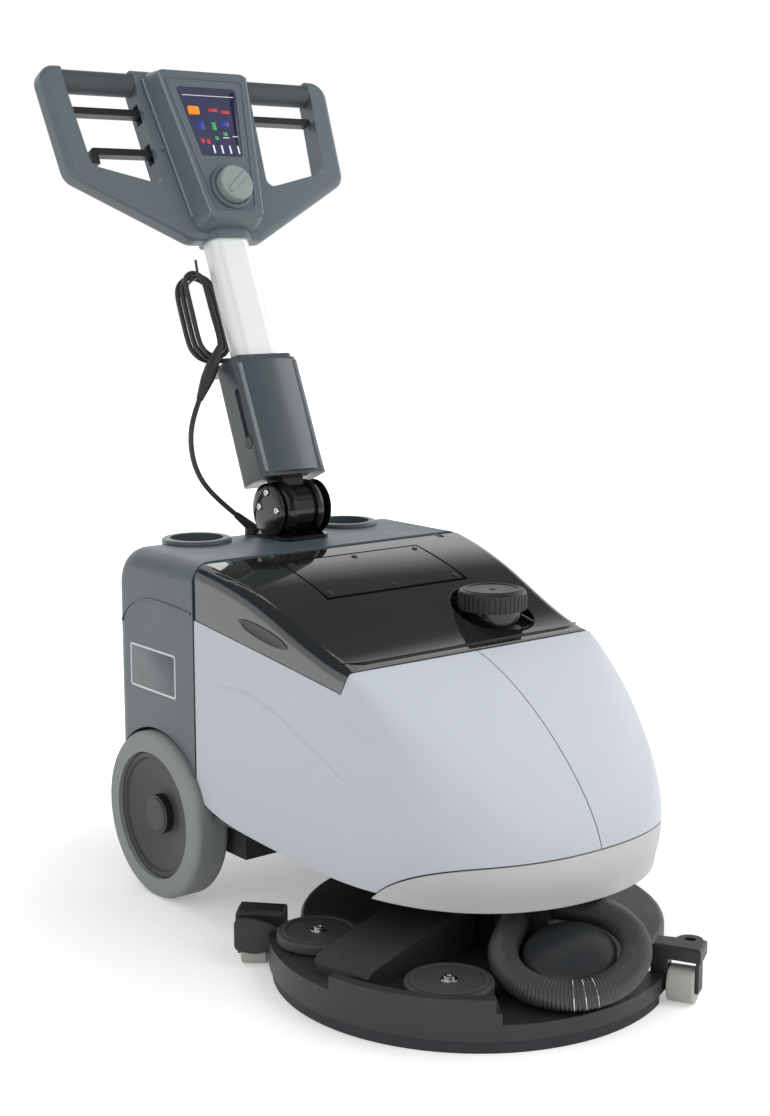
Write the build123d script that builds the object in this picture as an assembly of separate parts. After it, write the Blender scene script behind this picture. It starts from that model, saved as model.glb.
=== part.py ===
from build123d import *
import os
from math import acos, cos, degrees, pi, radians, sin, sqrt

# Walk-behind floor scrubber: a tank body on two rear wheels, a swivelling brush deck with a squeegee,
# and a folding mast that carries the control handle.
# While modelling, +Z is up, the nose points to -Y, the operator stands at +Y, the rear axle is at Y = 0.
# At the end everything is moved so that the origin is the middle of the footprint, on the floor.
# Lengths are millimetres, angles are degrees. "Ahead" is a distance from the axle towards the nose.

# Clearances
running_gap = 0.05
fit_gap = 0.2
sliding_gap = 0.3
panel_gap = 1.5
swing_gap = 4.0
cut_past = 20.0

# Rear wheels and axle
wheel_diameter = 200.0
wheel_width = 45.0
wheel_track = 420.0
tyre_thickness = 24.0
tyre_edge = 8.0
hub_inset = 5.0
hub_rim = 4.0
hub_dish_depth = 3.0
hub_recess_diameter = 34.0
hub_recess_depth = 6.0
axle_diameter = 20.0
bush_wall = 4.0

# Chassis
axle_cover = 8.0
chassis_thickness = 6.0
carrier_ahead = 119.0
carrier_behind = 40.0
carrier_drop = 52.0
carrier_wall = 4.0

# Rear housing
housing_width = 400.0
housing_behind = 92.0
housing_ahead = 82.0
body_top = 412.0
housing_rear_round = 46.0
housing_edge = 24.0
shell_wall = 4.0
cup_diameter = 64.0
cup_rim_diameter = 84.0
cup_rim_height = 5.0
cup_depth = 48.0
cup_well_corner = 24.0
cup_side = 111.0
cup_behind = 46.0

# Front shells and nose band
front_width_low = 382.0
front_width_brow = 350.0
nose_ahead = 330.0
nose_length = 203.0
nose_power = 1.4
plan_fullness = 0.6
brow_fullness = 1.0
nose_crest = 157.0
brow_height = 331.0
side_step = 1.0
roof_margin = 40.0
roof_setback = 24.0
skirt_drop = 6.0
band_drop = 7.0
seam_gap = 1.6

# Tank lid
lid_ahead = 336.0
lid_step = 2.0
lid_wall = 4.0
lid_ridge = 16.0
lid_front_fall = 78.0
wing_rear_fall = 62.0
wing_tip_fall = 103.0
wing_tip_setback = 8.0
hinge_barrel = 10.0
hinge_pin_diameter = 5.0
hinge_lug_width = 8.0
hinge_lug_side = 150.0
panel_width = 200.0
panel_length = 92.0
panel_ahead = 112.0
panel_depth = 2.4
screw_head = 7.0
screw_inset = 9.0
screw_rise = 1.0

# Filler
cap_diameter = 77.0
cap_height = 22.0
cap_wall = 4.0
cap_ribs = 40
cap_rib_height = 1.2
cap_side = 85.0
cap_ahead = 268.0
cap_drop = 57.0
neck_diameter = 66.0
neck_wall = 4.0
neck_rise = 14.0
dish_width = 10.0
dish_drop = 22.0

# Mast knuckle
pivot_behind = 4.0
pivot_rise = 35.0
mast_lean = 23.5
cheek_radius = 34.0
cheek_thickness = 14.0
cheek_edge = 10.0
head_width = 30.0
foot_thickness = 5.0
foot_length = 70.0
foot_corner = 14.0
pin_diameter = 14.0
pin_head_height = 4.0
pin_head_width = 3.0

# Mast sleeve and tube
sleeve_width = 92.0
sleeve_depth = 50.0
sleeve_length = 150.0
sleeve_corner = 9.0
sleeve_taper = 3.0
tube_width = 58.0
tube_depth = 34.0
tube_corner = 14.0
tube_wall = 2.5
tube_exposed = 155.0
tube_inserted = 104.0
tube_in_handle = 60.0
chin_boss_wall = 5.0
collar_height = 6.0
collar_step = 3.0
shelf_length = 34.0
shelf_right = 28.0
slot_width = 9.0
slot_length = 76.0
slot_depth = 5.0
slot_rise = 78.0
button_diameter = 15.0
button_travel = 3.0

# Handle
loop_depth = 28.0
loop_edge = 8.0
loop_corner = 22.0
loop_bar = 31.0
hole_corner = 10.0
hole_spread = 24.0
grip_diameter = 29.0
grip_wall = 3.5
handle_top_half = 213.0
handle_low_half = 203.0
chin_half = 52.0
handle_length = 226.0
low_corner_rise = 82.0
console_top_half = 80.0
console_depth = 26.0
console_wall = 3.0
console_corner = 18.0
console_inset = 4.0
face_inset = 9.0
display_length = 92.0
display_drop = 31.0
display_top_half = 44.0
display_low_half = 30.0
display_depth = 2.0
key_width = 16.0
key_length = 11.0
key_travel = 1.2
key_side = 27.0
key_drop = 32.0
dial_diameter = 46.0
dial_height = 14.0
dial_rise = 57.0
dial_shaft_diameter = 10.0
bezel_diameter = 58.0
bezel_height = 5.0
lever_length = 105.0
lever_thickness = 9.0
lever_depth = 12.0
lever_drop = 40.0
lever_pivot = 68.0
lever_swing = 7.0
release_length = 91.0
release_drop = 93.0
release_hook = 16.0
release_swing = 12.0
lever_pin_diameter = 5.0

# Charging lead, with places on the mast given as (across, along, towards the face)
cord_diameter = 6.5
gland_side = 28.0
gland_behind = 50.0
gland_nut_diameter = 18.0
gland_nut_height = 8.0
gland_boot_length = 26.0
gland_direction = (-0.72, 0.25, 0.65)
lead_rise = 34.0
lead_finish = 30.0
boot_wall = 1.0
connector_low = (-84.0, 150.0, -14.0)
connector_high = (-40.0, 214.0, -10.0)
connector_diameter = 17.0
coil_turns = 3
coil_step = 7.6
coil_middle = 262.0
coil_half_height = 55.0
coil_entry = 38.0
coil_tuck = 13.0
coil_left = 56.0
coil_spread = 3.0
coil_near = 20.0
plug_diameter = 20.0
plug_length = 26.0
plug_side = 2.0
hook_wire = 3.2
hook_foot = -38.0
hook_side = -43.0
hook_sag = 2.8
hook_bend = 20.0

# Brush deck
deck_ahead = 350.0
deck_turn = -51.4
deck_diameter = 400.0
deck_top = 40.0
deck_skirt = 14.0
deck_wall = 4.0
deck_edge = 6.0
turret_diameter = 168.0
turret_wall = 5.0
flange_width = 12.0
flange_height = 8.0
ring_width = 18.0
ring_height = 12.0
motor_diameter = 108.0
motor_height = 176.0
shaft_diameter = 20.0
brush_diameter = 366.0
brush_block_height = 10.0
bristle_length = 20.0
bristle_slice = 2.0
bristle_width = 6.0
bristle_rings = 8
bristle_first_ring = 60.0
bristle_pitch = 16.0

# Squeegee, drawn around the centre of its own arc
squeegee_offset = 70.0
squeegee_radius = 215.0
squeegee_half_angle = 78.0
squeegee_top = 42.0
squeegee_plate = 5.0
squeegee_wall = 11.0
squeegee_lift = 13.0
low_start = 18.5
low_top = 30.0
blade_thickness = 4.0
blade_spacing = 17.0
blade_grip = 12.0
raised_wall_top = 56.0
raised_wall_angles = (-30.0, 17.0)
knob_place_radius = 163.0
knob_angles = (-66.0, 3.0)
knob_diameter = 90.0
knob_height = 10.0
knob_edge = 3.0
knob_stud_diameter = 10.0
knob_boss_diameter = 68.0
ramp_width = 76.0
ramp_front = 58.0
ramp_rear = 100.0
ramp_lip = 54.0
ramp_brow = 60.0
ramp_top = 96.0

# Suction dome and hose
dome_angle = 51.0
dome_place_radius = 152.0
dome_diameter = 96.0
dome_rise = 10.0
dome_shoulder = 10.0
hose_diameter = 31.0
hose_bore = 23.0
hose_rib_depth = 2.2
hose_loop_radius = 66.5
hose_middle_height = 67.0
hose_tilt = 18.4
hose_low_angle = -5.0
hose_ribs = 66
manifold_wall = 7.0
manifold_depth = 42.0

# End brackets and rollers
bracket_angle = 80.5
bracket_place_radius = 231.0
roller_diameter = 38.0
roller_width = 28.0
roller_pin_diameter = 6.0
roller_play = 0.5
fork_wall = 3.5
fork_half_length = 9.0
bracket_top = 60.0
bracket_roof = 14.0
bracket_root = 16.0
bracket_spread = 8.0
bracket_overhang = 20.0
bracket_edge = 4.0
lug_reach = 27.0
lug_radius = 14.0
lug_hole = 12.0

# Inside pieces
inner_gap = 6.0
battery_height = 165.0
battery_length = 128.0
battery_width = 146.0
battery_ahead = 55.0
vacuum_diameter = 118.0
vacuum_height = 84.0
vacuum_behind = 10.0
tank_half = 165.0
tank_ahead = 125.0
tank_length = 123.0
tank_arm_length = 64.0
tank_top = 250.0
tub_top = 322.0
tub_wall = 3.0
tub_side = 35.0
tub_ahead = 95.0
tub_length = 222.0

# Heights and places that follow from the sizes above
axle_height = wheel_diameter / 2
above_body = body_top + cut_past
wheel_inner = wheel_track / 2 - wheel_width
chassis_bottom = axle_height + axle_diameter / 2 + axle_cover
chassis_top = chassis_bottom + chassis_thickness
shell_bottom = chassis_bottom - skirt_drop
band_bottom = shell_bottom - band_drop
form_low = band_bottom - panel_gap
housing_front = -housing_ahead
housing_bottom = chassis_top
arch_radius = wheel_diameter / 2 + swing_gap
lid_top = body_top - lid_step
lid_rear = housing_front - hinge_barrel / 2
hinge_y = lid_rear
hinge_z = lid_top - hinge_barrel / 2
hinge_low = hinge_z - hinge_barrel / 2
lid_front = -lid_ahead
nose_y = -nose_ahead
body_rear_half = housing_width / 2 - side_step
pivot_y = pivot_behind
pivot_z = body_top + pivot_rise
sleeve_start = cheek_radius + 2
sleeve_end = sleeve_start + sleeve_length
chin = sleeve_end + collar_height + tube_exposed
handle_end = chin + handle_length
grip_rise = handle_end - grip_diameter / 2 - console_inset / 2
deck_y = -deck_ahead
brush_bottom = 0.0
block_bottom = brush_bottom + bristle_length
block_top = block_bottom + brush_block_height
deck_under = deck_top - deck_wall
flange_bottom = chassis_top + sliding_gap
turret_top = flange_bottom + flange_height
cap_y = -cap_ahead
face_plane = loop_depth / 2 + console_depth

parts = {}


def add(name, shape):
    """Keep one finished piece under its node name."""
    parts[name] = shape
    return shape


def group(pieces):
    """Several separate solids kept as one node."""
    return Compound([piece.solid() for piece in pieces])


def rod(radius, length):
    """A cylinder along X, centred on the origin."""
    return Rot(0, 90, 0) * Cylinder(radius, length)


def block(x0, x1, y0, y1, z0, z1):
    """A box given by its limits."""
    middle = Pos((x0 + x1) / 2, (y0 + y1) / 2, (z0 + z1) / 2)
    return middle * Box(x1 - x0, y1 - y0, z1 - z0)


def column(x, y, z0, z1, radius):
    """An upright cylinder between two heights."""
    return Pos(x, y, (z0 + z1) / 2) * Cylinder(radius, z1 - z0)


def side_profile(points, half_width):
    """A solid whose side view is the given face of (y, z) points, as wide as the body."""
    return extrude(Plane.YZ * points, amount=half_width, both=True)


def biarc(p0, t0, p1, t1):
    """Two tangent arcs from p0 to p1 with the given unit directions at the ends."""
    v = p1 - p0
    both = t0 + t1
    turn = 2 * (1 - t0.dot(t1))
    along = v.dot(both)
    if turn < 1e-9:
        d = v.dot(v) / (2 * along)
    else:
        d = (sqrt(along * along + turn * v.dot(v)) - along) / turn
    q0 = p0 + t0 * d
    q1 = p1 - t1 * d
    middle = (q0 + q1) * 0.5
    first = TangentArc(p0, middle, tangent=t0)
    second = TangentArc(middle, p1, tangent=(q1 - q0).normalized())
    return [first, second]


# Wheels on their axle
tyre_hole = wheel_diameter / 2 - tyre_thickness
bush_radius = axle_diameter / 2 + bush_wall
hub_width = wheel_width - 2 * hub_inset
wheel_x = wheel_track / 2 - wheel_width / 2


def build_wheel(side, name):
    """One rear wheel: rubber tyre, moulded hub with a round outer disc, and a nylon bush."""
    place = Pos(side * wheel_x, 0, axle_height)
    tyre = rod(wheel_diameter / 2, wheel_width) - rod(tyre_hole, wheel_width)
    rims = tyre.edges().filter_by(GeomType.CIRCLE).sort_by(SortBy.RADIUS)[-2:]
    add(name + "_tyre", place * fillet(rims, tyre_edge))
    hub = rod(tyre_hole, hub_width) - rod(bush_radius, hub_width)
    groove = Pos(side * (hub_width - hub_dish_depth) / 2, 0, 0)
    ring = rod(tyre_hole - hub_rim, hub_dish_depth) - rod(tyre_hole - hub_rim - panel_gap, hub_dish_depth)
    hub -= groove * ring
    recess = Pos(side * (hub_width - hub_recess_depth) / 2, 0, 0)
    hub -= recess * rod(hub_recess_diameter / 2, hub_recess_depth)
    add(name + "_hub", place * hub)
    bush_length = hub_width - hub_recess_depth
    bush = rod(bush_radius, bush_length) - rod(axle_diameter / 2 + running_gap, bush_length)
    bush_place = Pos(-side * hub_recess_depth / 2, 0, 0)
    add(name + "_bush", place * bush_place * bush)


build_wheel(-1, "right_wheel")
build_wheel(1, "left_wheel")

axle_end = wheel_x + hub_width / 2 - hub_recess_depth
axle = Pos(0, 0, axle_height) * rod(axle_diameter / 2, 2 * axle_end)
add("axle", axle)

# Chassis: plate, axle carrier and slewing ring
ring_inner = turret_diameter / 2 + sliding_gap


def front_half_at(z):
    """Half the width of the front body at height z, where its sides meet the nose."""
    share = (z - shell_bottom) / (brow_height - shell_bottom)
    return (front_width_low + (front_width_brow - front_width_low) * share) / 2


def body_slice(z, inset):
    """One horizontal outline of the front body at height z, drawn in by inset."""
    front_half = front_half_at(z) - inset
    rear_half = body_rear_half - inset
    rear_y = housing_front - panel_gap
    reach = nose_length - inset
    if z > nose_crest:
        climb = (z - nose_crest) / (brow_height - inset - nose_crest)
        reach *= (1 - climb ** nose_power) ** (1 / nose_power)
    rise = (z - band_bottom) / (brow_height - inset - band_bottom)
    fullness = plan_fullness + (brow_fullness - plan_fullness) * rise
    handle = fullness * reach
    slope = (front_half - rear_half) / (nose_y - rear_y)
    tip = (0, nose_y - reach)
    rear_right = (rear_half, rear_y)
    rear_left = (-rear_half, rear_y)
    right = (front_half, nose_y)
    left = (-front_half, nose_y)
    right_out = (front_half - slope * handle, nose_y - handle)
    left_out = (slope * handle - front_half, nose_y - handle)
    tip_right = (fullness * front_half, nose_y - reach)
    tip_left = (-fullness * front_half, nose_y - reach)
    outline = Curve() + [
        Line(rear_right, right),
        Bezier(right, right_out, tip_right, tip),
        Bezier(tip, tip_left, left_out, left),
        Line(left, rear_left),
        Line(rear_left, rear_right),
    ]
    return Pos(0, 0, z) * make_face(outline)


form_climbs = (0.0, 0.18, 0.38, 0.57, 0.74, 0.87, 0.95, 0.99)


def front_form(low, inset):
    """The smooth outer form of the tank body ahead of the rear housing."""
    rise = brow_height - inset - nose_crest
    heights = [low] + [nose_crest + rise * climb for climb in form_climbs]
    return loft([body_slice(z, inset) for z in heights])


reach_half = housing_width
plate_layer = block(-reach_half, reach_half, nose_y - reach_half, housing_front, chassis_bottom, chassis_top)
chassis = front_form(form_low, shell_wall + fit_gap) & plate_layer
plate_half = wheel_inner - swing_gap - shell_wall - fit_gap
plate_rear = housing_behind - side_step
chassis += block(-plate_half, plate_half, housing_front - panel_gap, plate_rear, chassis_bottom, chassis_top)
for side in (-1, 1):
    well = rod(arch_radius + shell_wall + fit_gap, wheel_width + 2 * (swing_gap + shell_wall + fit_gap))
    chassis -= Pos(side * wheel_x, 0, axle_height) * well
chassis -= column(0, deck_y, chassis_bottom, chassis_top, ring_inner)
add("chassis_plate", chassis)

carrier_half = wheel_inner - 2 * swing_gap
carrier_bottom = chassis_bottom - carrier_drop
carrier = block(-carrier_half, carrier_half, -carrier_ahead, carrier_behind, carrier_bottom, chassis_bottom)
carrier -= block(
    -carrier_half + carrier_wall,
    carrier_half - carrier_wall,
    -carrier_ahead + carrier_wall,
    carrier_behind - carrier_wall,
    carrier_bottom,
    chassis_bottom - carrier_wall,
)
carrier -= Pos(0, 0, axle_height) * rod(axle_diameter / 2, 2 * carrier_half)
add("axle_carrier", carrier)

ring = column(0, deck_y, chassis_bottom - ring_height, chassis_bottom, ring_inner + ring_width)
add("slewing_ring", ring - column(0, deck_y, chassis_bottom - ring_height, chassis_bottom, ring_inner))

# Rear housing with its wheel arches and cup recesses


def housing_form(inset):
    """The rounded outer form of the rear housing, drawn in by inset at the sides, rear and top."""
    half = housing_width / 2 - inset
    rear = housing_behind - inset
    top = body_top - inset
    bend = housing_rear_round - inset
    side_view = [
        Line((housing_front, housing_bottom), (rear, housing_bottom)),
        Line((rear, housing_bottom), (rear, top - bend)),
        CenterArc((rear - bend, top - bend), bend, 0, 90),
        Line((rear - bend, top), (housing_front, top)),
        Line((housing_front, top), (housing_front, housing_bottom)),
    ]
    form = side_profile(make_face(Curve() + side_view), half)
    sides = form.faces().sort_by(Axis.X)
    rims = []
    for edge in sides[0].edges() + sides[-1].edges():
        if edge.center().Z > housing_bottom + 1 and edge.center().Y > housing_front + 1:
            rims.append(edge)
    return fillet(rims, housing_edge - inset)


well_width = cup_diameter + 2 * shell_wall
well_floor = Pos(0, 0, body_top - cup_depth) * RectangleRounded(well_width, well_width, cup_well_corner)
cup_well = extrude(well_floor, amount=cup_depth)
housing = housing_form(0) - housing_form(shell_wall)
for side in (-1, 1):
    arch = Pos(side * wheel_x, 0, axle_height)
    depth = wheel_width + 2 * swing_gap
    liner = arch * rod(arch_radius + shell_wall, depth + 2 * shell_wall)
    housing += liner & housing_form(0)
    housing -= arch * rod(arch_radius, depth)
    housing -= Pos(side * cup_side, cup_behind, 0) * cup_well
for side in (-1, 1):
    lug_x = side * (hinge_lug_side + hinge_lug_width / 2)
    lug_half = hinge_lug_width / 2
    lug = block(lug_x - lug_half, lug_x + lug_half, hinge_y, housing_front + shell_wall, hinge_low, lid_top)
    lug += Pos(lug_x, hinge_y, hinge_z) * rod(hinge_barrel / 2, hinge_lug_width)
    housing += lug
    housing -= Pos(lug_x, hinge_y, hinge_z) * rod(hinge_pin_diameter / 2, hinge_lug_width)
add("rear_housing", housing)


def build_cup(side):
    """A round tray pressed into the top of the rear housing, with a raised rim that follows its rounding."""
    x = side * cup_side
    rim_top = body_top + cup_rim_height
    rim = column(x, cup_behind, body_top - housing_rear_round, rim_top, cup_rim_diameter / 2)
    rim = fillet(rim.edges().group_by(Axis.Z)[-1], cup_rim_height - 1.5)
    cup = rim - housing_form(0)
    cup += column(x, cup_behind, body_top - cup_depth, body_top, cup_diameter / 2 + shell_wall)
    return cup - column(x, cup_behind, body_top - cup_depth + shell_wall, rim_top, cup_diameter / 2)


add("cup_trays", group([build_cup(-1), build_cup(1)]))

# Front shells, nose band and the lid between them


def lid_plan(grow):
    """The lid's outline from above, following the body sides as they lean in with height."""
    slices = []
    for z in (brow_height - wing_tip_fall, above_body):
        front_half = front_half_at(z)
        rear_half = body_rear_half
        slope = (front_half - rear_half) / (nose_y - housing_front)
        rear_half += grow
        tip_half = rear_half + slope * (lid_front - housing_front)
        outline = Polyline(
            (rear_half, lid_rear + grow),
            (tip_half, lid_front - grow),
            (-tip_half, lid_front - grow),
            (-rear_half, lid_rear + grow),
            close=True,
        )
        slices.append(Pos(0, 0, z) * make_face(outline))
    return loft(slices, ruled=True)


def crown_points(lower):
    """Points of the lid's top line from the hinge to the front edge, lowered by a thickness."""
    span = lid_rear - lid_front
    falls = ((0.0, 0.0), (0.2, 0.13), (0.41, 0.33), (0.68, 0.68), (1.0, 1.0))
    return [(lid_rear - span * s, lid_top - lower - lid_front_fall * f) for s, f in falls]


def wing_edge(gap):
    """The lid's lower line from its front lip to its rear, lowered by a gap."""
    return [
        (lid_front - gap, lid_top - lid_front_fall - lid_wall - gap),
        (lid_front + wing_tip_setback, lid_top - wing_tip_fall - gap),
        (lid_rear, lid_top - wing_rear_fall - gap),
    ]


def round_ridges(form, radius):
    """Round the two long edges where the lid's top meets its sides."""
    ridges = []
    for edge in form.edges():
        middle = edge.center()
        beside = abs(middle.X) > panel_width / 2 and middle.Z > lid_top - wing_rear_fall
        if beside and edge.length > lid_ahead / 2:
            ridges.append(edge)
    return fillet(ridges, radius)


def lid_block():
    """The lid's solid envelope: under the top line and above the wing edge."""
    top = crown_points(0)
    corners = [top[-1], *wing_edge(0), top[0]]
    face = make_face(Curve() + [Spline(*top), Polyline(*corners)])
    return round_ridges(side_profile(face, reach_half) & lid_plan(0), lid_ridge)


def lid_room():
    """Everything above the wing edges with the panel gap, back to the rear housing."""
    edge = wing_edge(panel_gap)
    above = body_top + lid_wall
    points = [*edge, (housing_front, edge[-1][1]), (housing_front, above), (edge[0][0], above)]
    return side_profile(make_face(Polyline(*points, close=True)), reach_half)


def crown_sheet(upper, lower):
    """The layer of the lid between two depths under its top line."""
    high = crown_points(upper)
    low = crown_points(lower)
    pieces = [Spline(*high), Line(high[-1], low[-1]), Spline(*low), Line(low[0], high[0])]
    return side_profile(make_face(Curve() + pieces), reach_half)


lid = lid_block()
inner_plan = lid_plan(-lid_wall)
inner_top = crown_points(lid_wall)
inner_low = lid_top - 2 * wing_tip_fall
inner_face = make_face(
    Curve()
    + [
        Spline(*inner_top),
        Line(inner_top[-1], (inner_top[-1][0], inner_low)),
        Line((inner_top[-1][0], inner_low), (inner_top[0][0], inner_low)),
        Line((inner_top[0][0], inner_low), inner_top[0]),
    ]
)
lid -= round_ridges(side_profile(inner_face, reach_half) & inner_plan, lid_ridge - lid_wall)
rear_wall = block(-reach_half, reach_half, lid_rear - 2 * lid_wall, lid_rear, inner_low, hinge_low)
lid -= rear_wall & Pos(0, lid_wall, 0) * inner_plan
barrel = Pos(0, hinge_y, hinge_z) * rod(hinge_barrel / 2, 2 * hinge_lug_side - 2 * sliding_gap)
lid += barrel
for side in (-1, 1):
    notch_half = hinge_lug_width / 2 + panel_gap
    lug_x = side * (hinge_lug_side + hinge_lug_width / 2)
    lid -= block(
        lug_x - notch_half + panel_gap - sliding_gap,
        lug_x + notch_half,
        hinge_y - hinge_barrel,
        hinge_y + hinge_barrel,
        hinge_z - 2 * hinge_barrel,
        lid_top + 1,
    )
lid -= Pos(0, hinge_y, hinge_z) * rod(hinge_pin_diameter / 2 + running_gap, 2 * hinge_lug_side)
opening_radius = cap_diameter / 2 + cap_rib_height + 9
lid -= column(cap_side, cap_y, brow_height, above_body, opening_radius)
panel_prism = block(
    -panel_width / 2,
    panel_width / 2,
    -panel_ahead - panel_length,
    -panel_ahead,
    brow_height,
    above_body,
)
pocket_prism = block(
    -panel_width / 2 - panel_gap / 2,
    panel_width / 2 + panel_gap / 2,
    -panel_ahead - panel_length - panel_gap / 2,
    -panel_ahead + panel_gap / 2,
    brow_height,
    above_body,
)
cap_room = column(cap_side, cap_y, brow_height, above_body, opening_radius + 5)
lid_panel = (crown_sheet(0, panel_depth) & panel_prism) - cap_room
lid -= crown_sheet(-lid_wall, panel_depth) & (pocket_prism - cap_room)
hinge_pin = rod(hinge_pin_diameter / 2, 2 * hinge_lug_width)
hinge_pins = [Pos(side * hinge_lug_side, hinge_y, hinge_z) * hinge_pin for side in (-1, 1)]
add("lid_hinge_pins", group(hinge_pins))
add("tank_lid", lid)
screws = []
for x in (-panel_width / 2 + screw_inset, 0, panel_width / 2 - screw_inset):
    for ahead in (panel_ahead + screw_inset, panel_ahead + panel_length - screw_inset):
        screw = column(x, -ahead, brow_height, above_body, screw_head / 2)
        screws.append(crown_sheet(-screw_rise, panel_depth) & screw)
        lid_panel -= screw
add("lid_panel", lid_panel)
add("panel_screws", group(screws))

# Front shells and nose band, cut from one smooth form


def under_seam(lower):
    """Everything below the seam between the shells and the nose band, lowered by a gap."""
    rise = nose_crest - band_bottom
    shares = ((0.25, -0.12), (0.41, 0.42), (0.52, 0.63), (0.72, 0.885), (1.1, 1.0))
    line = [(nose_y - nose_length * s, band_bottom - lower + rise * h) for s, h in shares]
    deep = band_bottom - 2 * rise
    corner = (line[-1][0], deep)
    start = (line[0][0], deep)
    edges = [Spline(*line), Line(line[-1], corner), Line(corner, start), Line(start, line[0])]
    return side_profile(make_face(Curve() + edges), reach_half)


def under_skirt():
    """Everything below the shells' lower edge, which climbs towards the wheel."""
    line = [
        (housing_front + 20, shell_bottom + 45),
        (housing_front - 39, shell_bottom + 16),
        (housing_front - 101, shell_bottom + 7),
        (nose_y + 69, shell_bottom + 2),
        (nose_y - 80, shell_bottom),
        (nose_y - 2 * nose_length, shell_bottom),
    ]
    low = shell_bottom - 100
    corner = (line[-1][0], low)
    start = (line[0][0], low)
    edges = [Spline(*line), Line(line[-1], corner), Line(corner, start), Line(start, line[0])]
    return side_profile(make_face(Curve() + edges), reach_half)


band = front_form(band_bottom, 0) - front_form(form_low, shell_wall)
add("nose_band", band & under_seam(seam_gap))

form_top = nose_crest + (brow_height - nose_crest) * form_climbs[-1]


def shoulder(inset):
    """The straight sides that carry the body form up beside the lid."""
    slices = []
    for z in (form_top, body_top):
        front_half = front_half_at(z) - inset
        rear_half = body_rear_half - inset
        rear_y = housing_front - panel_gap
        outline = Polyline(
            (rear_half, rear_y),
            (front_half, nose_y),
            (-front_half, nose_y),
            (-rear_half, rear_y),
            close=True,
        )
        slices.append(Pos(0, 0, z) * make_face(outline))
    return loft(slices, ruled=True)


roof_half = housing_width / 2 - roof_margin
shell = front_form(shell_bottom, 0) + shoulder(0)
shell -= front_form(form_low, shell_wall)
shell -= shoulder(shell_wall)
shell -= block(-roof_half, roof_half, nose_y + roof_setback, housing_front, nose_crest, body_top)
shell -= lid_room()
shell -= under_seam(0)
shell -= under_skirt()
for side in (-1, 1):
    shell -= Pos(side * wheel_x, 0, axle_height) * rod(arch_radius, wheel_width + 2 * swing_gap)
half_seam = seam_gap / 2
add("right_shell", shell & block(-reach_half, -half_seam, nose_y - reach_half, 0, 0, body_top))
add("left_shell", shell & block(half_seam, reach_half, nose_y - reach_half, 0, 0, body_top))


# Filler neck with its drip dish, and the ribbed cap over it
cap_bottom = lid_top - cap_drop + neck_wall / 2
neck_top = cap_bottom + neck_rise
dish_z = cap_bottom - dish_drop
neck = column(cap_side, cap_y, tank_top, neck_top, neck_diameter / 2)
neck += column(cap_side, cap_y, dish_z, dish_z + neck_wall, neck_diameter / 2 + dish_width)
neck -= column(cap_side, cap_y, tank_top, neck_top, neck_diameter / 2 - neck_wall)
add("filler_neck", neck)
cap = column(cap_side, cap_y, cap_bottom, cap_bottom + cap_height, cap_diameter / 2)
cap = fillet(cap.edges().group_by(Axis.Z)[-1], cap_wall - 1)
cap_rib_list = []
for i in range(cap_ribs):
    angle = 2 * pi * i / cap_ribs
    rib_x = cap_side + cap_diameter / 2 * cos(angle)
    rib_y = cap_y + cap_diameter / 2 * sin(angle)
    cap_rib_list.append(column(rib_x, rib_y, cap_bottom, cap_bottom + cap_height - cap_wall, cap_rib_height))
cap += cap_rib_list
cap_hollow = neck_diameter / 2 + sliding_gap
cap -= column(cap_side, cap_y, cap_bottom, cap_bottom + cap_height - cap_wall, cap_hollow)
add("fill_cap", cap)

# Mast knuckle: foot and cheeks on the body, head on the mast, one pin through both
mast_place = Pos(0, pivot_y, pivot_z) * Rot(-mast_lean, 0, 0)
cheek_inner = head_width / 2 + sliding_gap
cheek_outer = cheek_inner + cheek_thickness
foot_half = foot_length / 2
foot_top = body_top + foot_thickness
foot = block(-foot_half, foot_half, pivot_y - foot_half, pivot_y + foot_half, body_top, foot_top)
knuckle = fillet(foot.edges().filter_by(Axis.Z), foot_corner)
for side in (-1, 1):
    cheek = Pos(side * (cheek_inner + cheek_thickness / 2), 0, 0) * rod(cheek_radius, cheek_thickness)
    outer_rim = cheek.edges().filter_by(GeomType.CIRCLE).sort_by(Axis.X)[0 if side < 0 else -1]
    cheek = Pos(0, pivot_y, pivot_z) * fillet(outer_rim, cheek_edge)
    knuckle += cheek & block(-cheek_outer, cheek_outer, pivot_y - cheek_radius, pivot_y + cheek_radius,
                             body_top, pivot_z + cheek_radius)
knuckle -= Pos(0, pivot_y, pivot_z) * rod(pin_diameter / 2, 2 * cheek_outer)
add("knuckle_base", knuckle)
pin = rod(pin_diameter / 2, 2 * cheek_outer)
for side in (-1, 1):
    pin_head = Pos(side * (cheek_outer + pin_head_height / 2), 0, 0)
    pin += pin_head * rod(pin_diameter / 2 + pin_head_width, pin_head_height)
add("knuckle_pin", Pos(0, pivot_y, pivot_z) * pin)

head_radius = pivot_rise - foot_thickness - sliding_gap
tube_bottom = sleeve_end - tube_inserted
plug_top = tube_bottom - inner_gap
plug_half = tube_width / 2 + sliding_gap
plug_depth = tube_depth / 2 + sliding_gap
neck_half = head_width / 2
socket = block(-plug_half, plug_half, -plug_depth, plug_depth, sleeve_start, plug_top)
head = rod(head_radius, head_width)
head += block(-neck_half, neck_half, -tube_depth / 2, tube_depth / 2, 0, sleeve_start)
head += socket
head -= rod(pin_diameter / 2 + running_gap, head_width)
add("knuckle_head", mast_place * head)

# Mast sleeve with its collar and lock button, drawn with the mast along Z and the face towards -Y


def mast_section(z, width, depth, corner):
    """A rounded rectangle across the mast at a distance along it."""
    return Pos(0, 0, z) * RectangleRounded(width, depth, corner)


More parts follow.
